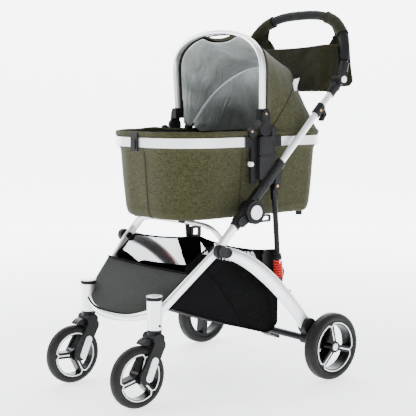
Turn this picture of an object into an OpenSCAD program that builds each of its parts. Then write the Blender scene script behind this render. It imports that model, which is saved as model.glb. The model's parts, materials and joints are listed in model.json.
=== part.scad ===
// Folding pet stroller: front -Y, back +Y, the stroller's left +X, up +Z, millimetres.
// The origin is on the ground below the middle of the stroller.

/* [Main tube] */
// Angle of the straight main tube above the ground, in degrees
tube_a = 44.2; // [43:0.1:46]
// Distance of each main tube from the middle plane
tube_x = 190; // [188:1:192]
// Width of the front leg tube, seen from the side
leg_w = 23; // [20:1:25]
// Thickness of the front leg tube
leg_t = 14; // [12:1:15]
// Width of the upper tube, seen from the side
upper_w = 19; // [17:1:20]
// Thickness of the upper tube
upper_t = 13; // [11:1:14]
// Wall of the aluminium tubes
wall = 1.6; // [1.2:0.1:2]

/* [Wheels] */
// Radius of a rear wheel
rear_r = 89; // [86:1:90]
// Width of a rear wheel
rear_w = 36; // [32:1:36]
// Radius of a front wheel
front_r = 76; // [74:1:76]
// Width of a front wheel
front_w = 29; // [26:1:30]
// Distance of a rear wheel from the middle plane
rear_x = 267; // [266:1:275]
// Distance of a caster from the middle plane
caster_x = 145; // [143:1:147]

/* [Carrier] */
// Half of the carrier's width at its rim
rim_x = 177; // [175:1:177]
// Front end of the rim
rim_front_y = -214; // [-220:1:-210]
// Rear end of the rim
rim_rear_y = 308; // [300:1:310]
// Height of the underside of the carrier
shell_z = 438; // [436:1:442]
// Height of the top of the carrier's fabric
shell_top = 651; // [649:1:652]

/* [Hood] */
// Height of the top of the front bow
bow_top = 924; // [910:1:930]
// Half of the front bow's width, at the middle of its tube
bow_x = 174; // [172:1:175]
// How much wider the front bow is above its straight legs, on each side
bow_flare = 5; // [0:1:6]

/* [Handle] */
// Height of the top of the handlebar
handle_top = 991; // [980:1:995]
// Radius of the foam grip
grip_r = 13; // [11.5:0.5:14]

/* [Hidden] */

$fn = 48;
LEFT = 1;
RIGHT = -1;

// Running clearances: a shaft in its bore, and two bodies that pass each other
fit = 0.05;
gap = 0.4;

// Pivots, as [y, z] in the side view
pivot = [-107, 368];            // rear leg on the front leg
hub = [7, 457];                 // fold hinge
strut_top = [92, 517];          // strut on the upper casting
strut_low = [113, 258];         // strut on the rear leg's bracket
handle_hinge = [322, 794];
hood_hinge = [58, 668];
rear_bow_hinge = [97, 664];
axle = [171, 112];              // rear cross tube
rear_hub = [228, 89];
front_hub = [-317, 76];
stem_y = -265;

// Stretches of the main tube, measured up the tube from its line's foot
foot = [-106, 366];
sleeve_from = 81;
knee = 141;
arm_to = 306;
socket_from = 557;
catch_at = 497;
catch_len = 34;

// A point on the main tube's line, s along it and p square to it on the upper side
function on(s, p = 0) = [foot[0] + s * cos(tube_a) - p * sin(tube_a),
                         foot[1] + s * sin(tube_a) + p * cos(tube_a)];
function at(x, yz) = [x, yz[0], yz[1]];
function unit(v) = v / norm(v);
function mix(a, b, t) = a + (b - a) * t;

// ---- Helpers ----

module on_side(side) {
    mirror([side < 0 ? 1 : 0, 0, 0]) children();
}

module both() {
    for (side = [LEFT, RIGHT]) on_side(side) children();
}

// Draws its children along +Z from p towards q, their X kept near the stroller's X
module along(p, q) {
    d = unit(q - p);
    x = unit([1, 0, 0] - d * d[0]);
    y = cross(d, x);
    multmatrix([[x[0], y[0], d[0], p[0]], [x[1], y[1], d[1], p[1]],
                [x[2], y[2], d[2], p[2]], [0, 0, 0, 1]]) children();
}

// Extrudes a side view, drawn as [y, z], from x0 to x1
module slab(x0, x1) {
    translate([x0, 0, 0]) rotate([90, 0, 90]) linear_extrude(x1 - x0) children();
}

module disc(c, r) {
    translate(c) circle(r);
}

// A bar with round ends between two points of a flat drawing, its sides just inside the ends
module bar(a, b, r) {
    d = b - a;
    h = 0.98 * r;
    translate(a) rotate(atan2(d[1], d[0])) translate([0, -h]) square([norm(d), 2 * h]);
    disc(a, r);
    disc(b, r);
}

module x_pin(yz, r, x0, x1) {
    slab(x0, x1) disc(yz, r);
}

// A flat oval, thick in X and wide in Y
module oval(thick, wide) {
    square([thick, wide - thick], center = true);
    for (s = [-1, 1]) translate([0, s * (wide - thick) / 2]) circle(thick / 2);
}

module oval_tube(p, q, thick, wide) {
    along(p, q) linear_extrude(norm(q - p)) difference() {
        oval(thick, wide);
        oval(thick - 2 * wall, wide - 2 * wall);
    }
}

module round_rect(w, h, r) {
    square([w, h - 2 * r], center = true);
    square([w - 2 * r, h], center = true);
    for (x = [-1, 1], y = [-1, 1]) translate([x * (w / 2 - r), y * (h / 2 - r)]) circle(r);
}

// A closed tube along a path; size gives [half x, half y] of the ring at each point
SIDES = 16;
function ring(size) = [for (k = [0 : SIDES - 1]) [size[0] * cos(360 * k / SIDES), size[1] * sin(360 * k / SIDES)]];
function tangent(path, i) = unit(path[min(i + 1, len(path) - 1)] - path[max(i - 1, 0)]);
module sweep(path, sizes, side_axis) {
    last = len(path) - 1;
    points = [for (i = [0 : last]) let (t = tangent(path, i), a = unit(side_axis - t * (side_axis * t)),
              b = cross(t, a)) for (q = ring(sizes[i])) path[i] + a * q[0] + b * q[1]];
    walls = [for (i = [0 : last - 1], k = [0 : SIDES - 1]) let (n = (k + 1) % SIDES)
             [i * SIDES + k, (i + 1) * SIDES + k, (i + 1) * SIDES + n, i * SIDES + n]];
    start = [for (k = [0 : SIDES - 1]) k];
    end = [for (k = [SIDES - 1 : -1 : 0]) last * SIDES + k];
    polyhedron(points, concat([start], walls, [end]), convexity = 6);
}

module pipe(path, r, side_axis = [0, 1, 0]) {
    sweep(path, [for (p = path) [r, r]], side_axis);
}

// Half of a superellipse standing on its ends: half width a, height b, squareness n
function arch(a, b, n, steps) = [for (i = [0 : steps]) let (w = 180 * i / steps)
    [a * sign(cos(w)) * pow(abs(cos(w)), 2 / n), b * pow(sin(w), 2 / n)]];

// ---- Front frame ----

// The leg bends inwards below the pivot and ends at the caster housing
leg_foot = [144, -260, 216.3];
leg_bend = [188.3, -111.7, 360.5];
stem_low = 186;
stem_high = 262;
stem_r = 18.5;
module housing_block() {
    translate([caster_x, stem_y, stem_low]) cylinder(h = stem_high - stem_low, r = stem_r);
}
module front_leg(side) {
    color("silver") on_side(side) difference() {
        union() {
            oval_tube(leg_foot, leg_bend, leg_t - 0.6, leg_w - 0.6);
            oval_tube(at(tube_x, on(-12)), at(tube_x, on(knee - 26)), leg_t, leg_w);
        }
        x_pin(pivot, 5, tube_x - 20, tube_x + 20);
        x_pin(hub, 27.5, tube_x - 20, tube_x + 20);
        housing_block();
    }
}

cross_sag = 20;
cross_bow = 30;
cross_z = 222;
function cross_path() = [for (i = [0 : 16]) let (u = i / 8 - 1)
    [u * 131, stem_y - 3 - cross_bow * (1 - u * u), cross_z - cross_sag * (1 - pow(abs(u), 2.8))]];
module front_cross_tube() {
    color("silver") difference() {
        sweep(cross_path(), [for (p = cross_path()) [7, 10]], [0, 1, 0]);
        both() housing_block();
    }
}

function arch_path() = [for (i = [0 : 20]) let (u = i / 10 - 1)
    [u * (tube_x - 7), -85, 394 + 31 * (1 - pow(abs(u), 6))]];
module arch_tube() {
    color("silver") difference() {
        pipe(arch_path(), 6);
        both() along(at(tube_x, on(0)), at(tube_x, on(60))) linear_extrude(60) oval(leg_t, leg_w);
    }
}

// Lower casting: a sleeve on the front leg and two cheeks that hold the fold hinge
cheek_r = 30;
module hub_casting() {
    difference() {
        union() {
            along(at(tube_x, on(sleeve_from)), at(tube_x, on(knee)))
                linear_extrude(knee - sleeve_from) oval(20, leg_w + 6);
            slab(199.4, 212) disc(hub, cheek_r);
            slab(177.5, 182.4) disc(hub, cheek_r);
            slab(199.4, 205) bar(hub, on(100, -2), 13);
            slab(177.5, 182.4) bar(hub, on(100, -2), 13);
        }
        slab(182.4, 199.4) disc(hub, 27.2);
        along(at(tube_x, on(sleeve_from - 10)), at(tube_x, on(knee + 1)))
            linear_extrude(knee - sleeve_from + 11) oval(leg_t, leg_w);
    }
    x_pin(hub, 6, 180, 206);
}
module hub_castings() {
    color("#2b2b2b") both() hub_casting();
}

module frame_caps() {
    color("white") both() {
        x_pin(hub, 18, 212, 214.5);
        translate([caster_x, stem_y, stem_high]) cylinder(h = 6, r = 19.5);
    }
}

kingpin_r = 8;
module caster_housings() {
    color("silver") both() difference() {
        housing_block();
        translate([caster_x, stem_y, stem_low - 1]) cylinder(h = 63, r = kingpin_r + fit);
    }
}

module leg_pivot_pins() {
    color("#2b2b2b") both() {
        x_pin(pivot, 5, 180, 211);
        x_pin(pivot, 13, 212.4, 216);
        x_pin(pivot, 5, 211, 212.4);
        x_pin(pivot, 9, 178, 181);
    }
}

basket_side = [[128, [-212, 232]], [156, [95, 130]], [160, [128, 148]], [163, [125, 345]], [160, [-104, 374]],
               [148, [-172, 330]]];
module basket_block(inset, lift) {
    hull() for (c = basket_side, s = [-1, 1])
        translate([s * (c[0] - inset), c[1][0], c[1][1] + lift]) sphere(r = 4 - inset / 2, $fn = 8);
}
module basket() {
    color("#1c1c1c") difference() {
        basket_block(0, 0);
        basket_block(2, 4);
    }
}

// ---- Handle frame ----

module upper_tube(side) {
    color("silver") on_side(side)
        oval_tube(at(tube_x, on(arm_to - 70)), at(tube_x, on(590)), upper_t, upper_w);
}

// Upper casting: an arm from the fold hinge to the upper tube, with the carrier's receiver
// and the lug beside the strut's top end
lift_a = 12;
module upper_casting(side) {
    color("#2b2b2b") on_side(side) difference() {
        union() {
            slab(182.8, 199) disc(hub, 26.5);
            slab(182.8, 199) bar(on(150, -2), on(200, 0), 13.5);
            along(at(tube_x + 0.5, on(178)), at(tube_x + 0.5, on(arm_to)))
                linear_extrude(arm_to - 178) oval(21, upper_w + 9);
            slab(176.4, 192) translate([37, 537]) square([54, 58.4]);
            slab(180.5, 192) bar([58, 530], [88, 560], 14);
            slab(194.4, 200.4) bar(strut_top, [98, 560], 10);
        }
        slab(160, 220) disc(hub, 6 + fit);
        along(at(tube_x, on(arm_to - 70)), at(tube_x, on(arm_to + 20)))
            linear_extrude(100) oval(upper_t, upper_w);
        slab(180, 188) lifted() square([34, 56], center = true);
        seam_groove();
    }
}
// The receiver's pocket leans forward with the lifting direction
module lifted() {
    translate([65, 584]) rotate(lift_a) children();
}
// A shallow line across the arm's outer face
module seam_groove() {
    translate(at(tube_x + 11, on(222))) rotate([tube_a, 0, 0]) cube([2, 1.2, 60], center = true);
}

module hinge_sockets() {
    color("#2b2b2b") both() {
        difference() {
            union() {
                along(at(tube_x, on(socket_from)), at(tube_x, on(596)))
                    linear_extrude(39) oval(17, upper_w + 7);
                slab(182.5, 198.4) disc(handle_hinge, 16);
                slab(182.5, 197.5) bar(on(585), handle_hinge, 12);
            }
            along(at(tube_x, on(socket_from - 5)), at(tube_x, on(590)))
                linear_extrude(38) oval(upper_t, upper_w);
        }
        x_pin(handle_hinge, 5, 190, 205);
    }
}

module catch(side) {
    color("#2b2b2b") on_side(side) difference() {
        union() {
            along(at(tube_x, on(catch_at - catch_len / 2)), at(tube_x, on(catch_at + catch_len / 2)))
                linear_extrude(catch_len) oval(upper_t + 6, upper_w + 7);
            slab(183, 197) bar(on(catch_at + 9, -8), on(catch_at + 5, -22), 6);
            slab(183, 197) bar(on(catch_at + 5, -23), on(catch_at - 10, -26), 4);
        }
        along(at(tube_x, on(catch_at - 30)), at(tube_x, on(catch_at + 30)))
            linear_extrude(60) oval(upper_t + 2 * gap, upper_w + 2 * gap);
    }
}

// ---- Handlebar ----

lean = 14.5;
bar_half = 204;
function bar_point(q) = [q[0], handle_hinge[0] + q[1] * sin(lean), handle_hinge[1] + q[1] * cos(lean)];
bar_height = (handle_top - grip_r - handle_hinge[1]) / cos(lean);
bar_plane = [0, cos(lean), -sin(lean)];
module bar_sweep(r, skip) {
    all = [for (q = arch(bar_half, bar_height, 2.8, 56)) bar_point(q)];
    kept = [for (p = all) if (p[2] > handle_hinge[1] + skip) p];
    pipe(kept, r, bar_plane);
}
module handlebar_tube() {
    color("#3a3a3a") bar_sweep(9, 24);
}
module handle_grip() {
    color("#1b1b1b") difference() {
        bar_sweep(grip_r, 48);
        bar_sweep(9.2, 30);
    }
}

button_r = 9;
module handle_hubs() {
    tube_foot = bar_point([bar_half, 26]);
    collar_foot = bar_point([bar_half, 22]);
    collar_top = bar_point([bar_half, 47]);
    color("#2b2b2b") both() difference() {
        union() {
            slab(199, 213) disc(handle_hinge, 16);
            slab(199, 213) bar(handle_hinge, [tube_foot[1], tube_foot[2]], 11);
            along(collar_foot, collar_top)
                cylinder(h = norm(collar_top - collar_foot), r = 13);
        }
        slab(190, 206.2) disc(handle_hinge, 5 + fit);
        slab(206.8, 220) disc(handle_hinge, button_r + 0.2);
        bar_sweep(9.1, 20);
    }
}

module handle_button(side) {
    color("white") on_side(side) x_pin(handle_hinge, button_r, 210.5, 215.5);
}

organiser_low = 760;
organiser_top = 888;
module organiser() {
    front = 306;
    back = 372;
    color("#5a5a40") difference() {
        union() {
            translate([-160, front, organiser_low]) cube([320, back - front, organiser_top - organiser_low]);
            translate([-188, back - 8, organiser_low]) cube([376, 8, organiser_top - organiser_low]);
        }
        translate([-155, front + 5, organiser_low + 5]) cube([310, back - front - 13, 200]);
    }
}

// ---- Rear frame ----

// The rear leg is a cubic curve in the side view that splays out to the wheel
leg_curve = [[-107, 368], [-30, 352], [60, 300], [182, 132]];
function bezier(p, t) = pow(1 - t, 3) * p[0] + 3 * t * pow(1 - t, 2) * p[1]
                      + 3 * t * t * (1 - t) * p[2] + pow(t, 3) * p[3];
function leg_point(t) = at(207 + 25 * t * t, bezier(leg_curve, t));
function leg_path(a, b, n) = [for (i = [0 : n]) leg_point(mix(a, b, i / n))];
function leg_sizes(a, b, n, inset) = [for (i = [0 : n]) let (t = mix(a, b, i / n))
    [8 - inset, mix(14, 20, min(1, 2 * t)) - inset]];
module rear_leg(side) {
    color("silver") on_side(side) difference() {
        sweep(leg_path(0.1, 0.97, 18), leg_sizes(0.1, 0.97, 18, 0), [1, 0, 0]);
        sweep(leg_path(0.06, 1, 18), leg_sizes(0.06, 1, 18, 1.8), [1, 0, 0]);
        slab(190, 220) bar(pivot, bezier(leg_curve, 0.08), 13.6);
    }
}

module rear_leg_joints() {
    inner = leg_path(0.06, 0.2, 5);
    color("#2b2b2b") both() {
        difference() {
            union() {
                slab(198.2, 212) disc(pivot, 16.5);
                slab(199, 212) bar(pivot, bezier(leg_curve, 0.08), 13.5);
            }
            slab(190, 220) disc(pivot, 5 + fit);
        }
        sweep(inner, [for (p = inner) [5.2, 10.8]], [1, 0, 0]);
    }
}

axle_r = 9.3;
module rear_axle_tube() {
    color("#202020") difference() {
        x_pin(axle, axle_r, -226, 226);
        x_pin(axle, axle_r - 1.6, -227, 227);
    }
}

stub_r = 6;
module wheel_housing(side) {
    end = bezier(leg_curve, 0.97);
    color("#2b2b2b") on_side(side) {
        difference() {
            union() {
                slab(221.5, 246) bar(end, [198, 112], 22);
                slab(224, 248) bar([198, 112], rear_hub, 18);
                slab(219, 246) bar(axle, [200, 108], 14);
            }
            x_pin(axle, axle_r, 210, 226);
            sweep(leg_path(0.7, 0.972, 6), leg_sizes(0.7, 0.972, 6, 0), [1, 0, 0]);
        }
        x_pin(rear_hub, stub_r, 246, rear_x + rear_w / 2 - 1);
    }
}

strut_x = 186;
module strut_brackets() {
    plate = [[70, 300], [65, 338], [74, 349], [88, 347], [104, 334], [134, 305], [144, 295], [147, 285],
             [144, 274], [134, 264], [128, 238], [98, 238]];
    color("#202020") both() {
        slab(168, 172) polygon(plate);
        slab(171, 216) translate([100, 236]) square([28, 9]);
        x_pin(strut_low, 4, 171, 193);
        x_pin(strut_low, 7, 192.4, 195);
    }
}

strut_dir = unit(strut_top - strut_low);
function up_strut(s) = strut_low + s * strut_dir;
module strut_cylinder(a, b, r) {
    along(at(strut_x, up_strut(a)), at(strut_x, up_strut(b))) cylinder(h = b - a, r = r);
}

rod_r = 4.5;
module strut_rod(side) {
    color("#303030") on_side(side) difference() {
        union() {
            x_pin(strut_low, 9, strut_x - 6, strut_x + 6);
            strut_cylinder(0, 160, rod_r);
            strut_cylinder(9, 14, 11);
        }
        x_pin(strut_low, 4 + fit, 160, 210);
    }
}

spring_from = 14.2;
spring_to = 66;
// The right strut carries the ring of the folding lock
module strut_tube(side) {
    color("#202020") on_side(side) {
        if (side == RIGHT) slab(177, 184) translate([128.5, 359.5]) difference() {
            round_rect(37, 33, 6);
            round_rect(20, 18, 3);
        }
        difference() {
            union() {
                strut_cylinder(spring_to + 0.3, spring_to + 16, 10);
                strut_cylinder(spring_to + 1, 236, 7);
            }
            strut_cylinder(spring_to, 180, rod_r + fit);
        }
        slab(180.5, 191.5) bar(up_strut(230), strut_top, 8.5);
    }
}

module spring(side) {
    color("red") on_side(side) difference() {
        strut_cylinder(spring_from, spring_to, 11.5);
        strut_cylinder(spring_from - 1, spring_to + 1, 6.5);
    }
}

module brake_pedal() {
    color("#202020") difference() {
        union() {
            slab(30, 84) disc(axle, 13);
            slab(36, 78) bar(axle, [196, 93], 6);
            slab(30, 84) bar([194, 94], [212, 83], 4.5);
        }
        x_pin(axle, axle_r + fit, 20, 94);
    }
}

// ---- Wheels ----

module tyre(c, x, r, w, rim) {
    shoulder = 12;
    color("#1a1a1a") translate(at(x, c)) rotate([0, 90, 0]) rotate_extrude($fn = 96) difference() {
        union() {
            translate([rim, -w / 2 + shoulder]) square([r - rim, w - 2 * shoulder]);
            for (s = [-1, 1]) translate([r - shoulder, s * (w / 2 - shoulder)]) circle(shoulder);
        }
        translate([0, -w]) square([rim, 2 * w]);
    }
}

// A plastic wheel: rim, hub and three hollow spokes that leave three windows
module wheel(c, x, rim, inner, w, bore, turn) {
    color("#262626") translate(at(x, c)) rotate([0, 90, 0]) difference() {
        union() {
            difference() {
                cylinder(h = w - 4, r = rim, center = true, $fn = 96);
                cylinder(h = w, r = inner, center = true, $fn = 96);
            }
            cylinder(h = w - 2, r = 15, center = true);
            for (k = [0 : 2]) rotate([0, 0, turn + 120 * k])
                translate([(inner + 2) / 2, 0, 0]) cube([inner + 2, 16, w - 5], center = true);
        }
        cylinder(h = 2 * w, r = bore + fit, center = true);
    }
}
rear_rim = 68;
front_rim = 60;
module rear_tyre(side) {
    tyre(rear_hub, side * rear_x, rear_r, rear_w, rear_rim);
}
module rear_wheel(side) {
    wheel(rear_hub, side * rear_x, rear_rim, 60, rear_w, stub_r, 94.5 - side * 20.5);
}
module front_tyre(side) {
    tyre(front_hub, side * caster_x, front_r, front_w, front_rim);
}
module front_wheel(side) {
    wheel(front_hub, side * caster_x, front_rim, 53, front_w, 4, 34 + side * 8);
}

// ---- Caster forks ----

arm_top = [-266, 150];
arm_knee = [-283, 118];
arm_low = [-308, 77];
arm_r = 17;
module fork(side) {
    outer = [caster_x + 16.5, caster_x + 24.5];
    inner = [caster_x - 24.5, caster_x - 16.5];
    color("#2b2b2b") on_side(side) {
        for (x = [outer, inner]) slab(x[0], x[1]) {
            bar(arm_top, arm_knee, arm_r);
            bar(arm_knee, arm_low, arm_r);
        }
        x_pin(front_hub, 4, caster_x - 24, caster_x + 24);
        difference() {
            union() {
                slab(inner[0], outer[1]) bar([-272, 166], [-264, 166], 12);
                translate([caster_x, stem_y, 153]) cylinder(h = stem_low - gap - 153, r = 18);
                slab(caster_x - 13, caster_x + 13) disc([-292, 145], 22);
            }
            x_pin(front_hub, front_r + 3, caster_x - 16.5, caster_x + 16.5);
        }
        translate([caster_x, stem_y, 180]) cylinder(h = 66, r = kingpin_r);
    }
}

// ---- Carrier ----

front_corner = 130;
rear_corner = 70;
// Plan outline of the carrier, drawn inset from the rim's outer face
module plan(inset) {
    x = rim_x - inset;
    f = rim_front_y + inset;
    b = rim_rear_y - inset;
    fr = front_corner - inset;
    br = rear_corner - inset;
    translate([-(x - fr), f]) square([2 * (x - fr), fr + 1]);
    translate([-(x - br), b - br - 1]) square([2 * (x - br), br + 1]);
    translate([-x, f + fr]) square([2 * x, b - f - fr - br]);
    for (s = [-1, 1]) {
        translate([s * (x - fr), f + fr]) circle(fr, $fn = 72);
        translate([s * (x - br), b - br]) circle(br, $fn = 72);
    }
}

module shell_block(inset, low) {
    hull() {
        translate([0, 0, shell_top - 3]) linear_extrude(3) plan_hull(5 + inset);
        translate([0, 0, low + 26]) linear_extrude(1) plan_hull(23 + inset);
        translate([0, 0, low]) linear_extrude(1) plan_hull(36 + inset);
    }
}
module plan_hull(inset) {
    x = rim_x - inset;
    for (s = [-1, 1]) {
        translate([s * (rim_x - front_corner), rim_front_y + front_corner]) circle(front_corner - inset, $fn = 40);
        translate([s * (rim_x - rear_corner), rim_rear_y - rear_corner]) circle(rear_corner - inset, $fn = 40);
    }
    translate([-x, 0]) square([2 * x, 100]);
}
module carrier_shell() {
    color("#6b6a4c") difference() {
        shell_block(0, shell_z);
        translate([0, 0, 3]) shell_block(3, shell_z);
        translate([0, 0, shell_top - 1]) linear_extrude(20) plan(8);
    }
}

band_low = 621;
band_high = 645;
connector = [0, 123];
module rim_band() {
    translate([0, 0, band_low]) linear_extrude(band_high - band_low) difference() {
        plan(0);
        plan(4.6);
    }
}
module rim_front() {
    color("silver") intersection() {
        rim_band();
        translate([-300, -400, 500]) cube([600, 400 + connector[0], 300]);
    }
}
module rim_rear() {
    color("silver") intersection() {
        rim_band();
        translate([-300, connector[1], 500]) cube([600, 400, 300]);
    }
}

// Black plastic at each side of the rim: band joiner, adaptor with its tongue, hood hinge
module carrier_brackets() {
    color("#2b2b2b") both() {
        difference() {
            union() {
                translate([172.6, connector[0], band_low - 1]) cube([8.4, connector[1] - connector[0], 26]);
                slab(176, 192) translate([64, 621.3]) round_rect(54, 50.6, 8);
                slab(180.4, 187.6) lifted() translate([0, 3]) square([30, 46], center = true);
                slab(173.5, 181.5) translate([17, 528]) square([19, 118]);
                slab(176, 184) bar([18, 660], [20, 652], 10);
                slab(176.5, 181.6) bar(hood_hinge, [58, 650], 15);
                slab(176.5, 181.6) bar(rear_bow_hinge, [95, 650], 8);
            }
            translate([179.5, 10, 577]) rotate([-90, 0, 0]) cylinder(h = 16, r = 6.7);
        }
        x_pin(hood_hinge, 6, 178, 190.4);
        x_pin(rear_bow_hinge, 3, 168.5, 178);
    }
}

module base_board() {
    color("#303030") translate([0, 0, shell_z + 3.2]) linear_extrude(5) plan(40);
}

module carrier_mat() {
    color("#8a8a80") translate([0, 0, shell_z + 8.6]) linear_extrude(23.4) plan(46);
}

module rim_clip() {
    color("#2b2b2b") translate([-14, rim_front_y - 5, 611]) {
        cube([28, 4.8, 46]);
        translate([6, -3, 6]) cube([16, 4, 22]);
    }
}

module carrier_feet() {
    color("#202020") {
        for (x = [-95, 95]) translate([x, -140, shell_z - 6]) cylinder(h = 5.9, r = 9);
        for (x = [-116, 116]) translate([x, 254, shell_z - 12]) cylinder(h = 11.9, r = 9);
        both() slab(132, 138) translate([108, shell_z - 10]) difference() {
            round_rect(40, 19.8, 6);
            round_rect(30, 10, 3);
        }
    }
}

module release_button(side) {
    color("white") on_side(side)
        translate([179.5, 13, 577]) rotate([-90, 0, 0]) cylinder(h = 9, r = 6.4);
}

// ---- Hood ----

bow_b = 100;
bow_r = 6;
bow_straight = bow_top - bow_r - bow_b;
bow_low = 694;
bow_lean = 8;
function bow_point(x, z) = [x, hood_hinge[0] + 3 - bow_lean * (z - bow_low) / (bow_top - bow_low), z];
function bow_path() = concat([bow_point(bow_x, bow_low)],
    [for (q = arch(bow_x + bow_flare, bow_b, 2.3, 40)) bow_point(q[0], bow_straight + q[1])],
    [bow_point(-bow_x, bow_low)]);
module hood_bow() {
    color("silver") sweep(bow_path(), [for (p = bow_path()) [10, bow_r]], [0, 1, 0]);
}

module hood_sockets() {
    color("#2b2b2b") both() difference() {
        union() {
            slab(182, 191) disc(hood_hinge, 20);
            slab(182, 190) bar(hood_hinge, [61, 700], 14);
            slab(165.5, 184) translate([46, 688]) square([28.5, 28]);
        }
        slab(170, 200) disc(hood_hinge, 6 + fit);
        sweep(bow_path(), [for (p = bow_path()) [10, bow_r]], [0, 1, 0]);
    }
}

rear_lean = 40;
rear_bow_r = 4;
rear_bow_len = 222;
rear_bow_b = 163;
function rear_bow_point(q) = [q[0], rear_bow_hinge[0] + q[1] * sin(rear_lean),
                              rear_bow_hinge[1] + q[1] * cos(rear_lean)];
function rear_bow_path(a, h) = concat([rear_bow_point([a, 0])],
    [for (q = arch(a, rear_bow_b, 2.2, 32)) rear_bow_point([q[0], h - rear_bow_b + q[1]])],
    [rear_bow_point([-a, 0])]);
module hood_rear_bow() {
    color("#303030") difference() {
        union() {
            pipe(rear_bow_path(162, rear_bow_len), rear_bow_r, [0, cos(rear_lean), -sin(rear_lean)]);
            both() x_pin(rear_bow_hinge, 7, 168.8, 174);
            both() x_pin(rear_bow_hinge, 6, 160, 169);
        }
        both() x_pin(rear_bow_hinge, 3 + fit, 167, 180);
    }
}

// Canopy: one sheet from the front bow over the rear bow down to the rear of the rim
canopy_front = 75;
module arch_slice(a, b, n, z0, low, thick) {
    pts = [for (q = arch(a, b, n, 24)) [q[0], z0 + q[1]]];
    rotate([90, 0, 0]) linear_extrude(thick) polygon(concat([[a, low]], pts, [[-a, low]]));
}
module canopy_block(inset) {
    hull() {
        translate([0, canopy_front + 1 - inset, 0])
            arch_slice(bow_x + bow_flare + 4 - inset, bow_b + 2 - inset, 2.3, bow_straight + 2, 716, 1);
        translate(at(0, rear_bow_hinge)) rotate([-rear_lean, 0, 0]) translate([0, 8, 0])
            arch_slice(173 - inset, rear_bow_b + 11 - inset, 2.2, rear_bow_len - rear_bow_b + 3, 20, 10);
        translate([0, 0, 653]) linear_extrude(1) intersection() {
            plan_solid(3 + inset);
            translate([-200, 130]) square([400, 200]);
        }
    }
}
module plan_solid(inset) {
    hull() plan_hull(inset);
}
module canopy() {
    color("#6b6a4c") difference() {
        canopy_block(0);
        translate([0, -6, -2]) canopy_block(2.4);
        translate([-300, 0, 600]) cube([600, canopy_front, 400]);
    }
}

front_leg(LEFT);  // front_leg_left
front_leg(RIGHT);  // front_leg_right
front_cross_tube();
arch_tube();
hub_castings();
frame_caps();
caster_housings();
leg_pivot_pins();
basket();
upper_tube(LEFT);  // upper_tube_left
upper_tube(RIGHT);  // upper_tube_right
upper_casting(LEFT);  // upper_casting_left
upper_casting(RIGHT);  // upper_casting_right
hinge_sockets();
catch(LEFT);  // catch_left
catch(RIGHT);  // catch_right
handle_hubs();
handlebar_tube();
handle_grip();
organiser();
handle_button(LEFT);  // handle_button_left
handle_button(RIGHT);  // handle_button_right
rear_leg(LEFT);  // rear_leg_left
rear_leg(RIGHT);  // rear_leg_right
rear_leg_joints();
rear_axle_tube();
wheel_housing(LEFT);  // wheel_housing_left
wheel_housing(RIGHT);  // wheel_housing_right
strut_brackets();
strut_rod(LEFT);  // strut_rod_left
strut_rod(RIGHT);  // strut_rod_right
strut_tube(LEFT);  // strut_tube_left
strut_tube(RIGHT);  // strut_tube_right
spring(LEFT);  // spring_left
spring(RIGHT);  // spring_right
brake_pedal();
rear_tyre(LEFT);  // rear_tyre_left
rear_tyre(RIGHT);  // rear_tyre_right
rear_wheel(LEFT);  // rear_wheel_left
rear_wheel(RIGHT);  // rear_wheel_right
fork(LEFT);  // fork_left
fork(RIGHT);  // fork_right
front_tyre(LEFT);  // front_tyre_left
front_tyre(RIGHT);  // front_tyre_right
front_wheel(LEFT);  // front_wheel_left
front_wheel(RIGHT);  // front_wheel_right
carrier_shell();
rim_front();
rim_rear();
carrier_brackets();
base_board();
carrier_mat();
rim_clip();
carrier_feet();
release_button(LEFT);  // release_button_left
release_button(RIGHT);  // release_button_right
hood_bow();
hood_sockets();
hood_rear_bow();
canopy();
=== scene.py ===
"""Pet stroller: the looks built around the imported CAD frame.

Metres; +X is the stroller's left, -Y its front, +Z up.
"""

import json
import math

import bpy
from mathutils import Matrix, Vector, noise


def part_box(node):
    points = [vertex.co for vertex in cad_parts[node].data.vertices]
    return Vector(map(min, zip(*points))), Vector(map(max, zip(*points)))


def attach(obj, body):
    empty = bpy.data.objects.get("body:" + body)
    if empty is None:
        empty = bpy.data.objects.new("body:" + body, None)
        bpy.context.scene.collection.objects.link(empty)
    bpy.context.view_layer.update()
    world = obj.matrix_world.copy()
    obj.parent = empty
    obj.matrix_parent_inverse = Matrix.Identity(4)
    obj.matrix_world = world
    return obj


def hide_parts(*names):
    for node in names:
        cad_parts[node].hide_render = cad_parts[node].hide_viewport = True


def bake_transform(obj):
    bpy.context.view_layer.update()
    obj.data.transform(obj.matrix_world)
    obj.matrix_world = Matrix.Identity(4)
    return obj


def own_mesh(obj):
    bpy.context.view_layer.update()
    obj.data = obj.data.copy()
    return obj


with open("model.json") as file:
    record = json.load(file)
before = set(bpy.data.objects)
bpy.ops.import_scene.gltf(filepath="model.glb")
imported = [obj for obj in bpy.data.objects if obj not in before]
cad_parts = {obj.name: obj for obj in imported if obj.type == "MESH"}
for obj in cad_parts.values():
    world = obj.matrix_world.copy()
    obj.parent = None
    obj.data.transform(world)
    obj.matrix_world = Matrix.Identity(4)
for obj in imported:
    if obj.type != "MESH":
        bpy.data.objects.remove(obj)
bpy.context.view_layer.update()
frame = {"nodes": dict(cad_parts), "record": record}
MM = 0.001
SIDES = ((1, "left"), (-1, "right"))


# ---------------------------------------------------------------- mesh helpers

def mesh_object(name, verts, faces, materials, smooth=True, indices=None):
    mesh = bpy.data.meshes.new(name)
    mesh.from_pydata([tuple(v) for v in verts], [], faces)
    obj = bpy.data.objects.new(name, mesh)
    bpy.context.scene.collection.objects.link(obj)
    for m in materials if isinstance(materials, (list, tuple)) else [materials]:
        mesh.materials.append(m)
    mesh.polygons.foreach_set("use_smooth", [smooth] * len(mesh.polygons))
    if indices:
        mesh.polygons.foreach_set("material_index", indices)
    mesh.validate()
    mesh.update()
    return obj


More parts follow.
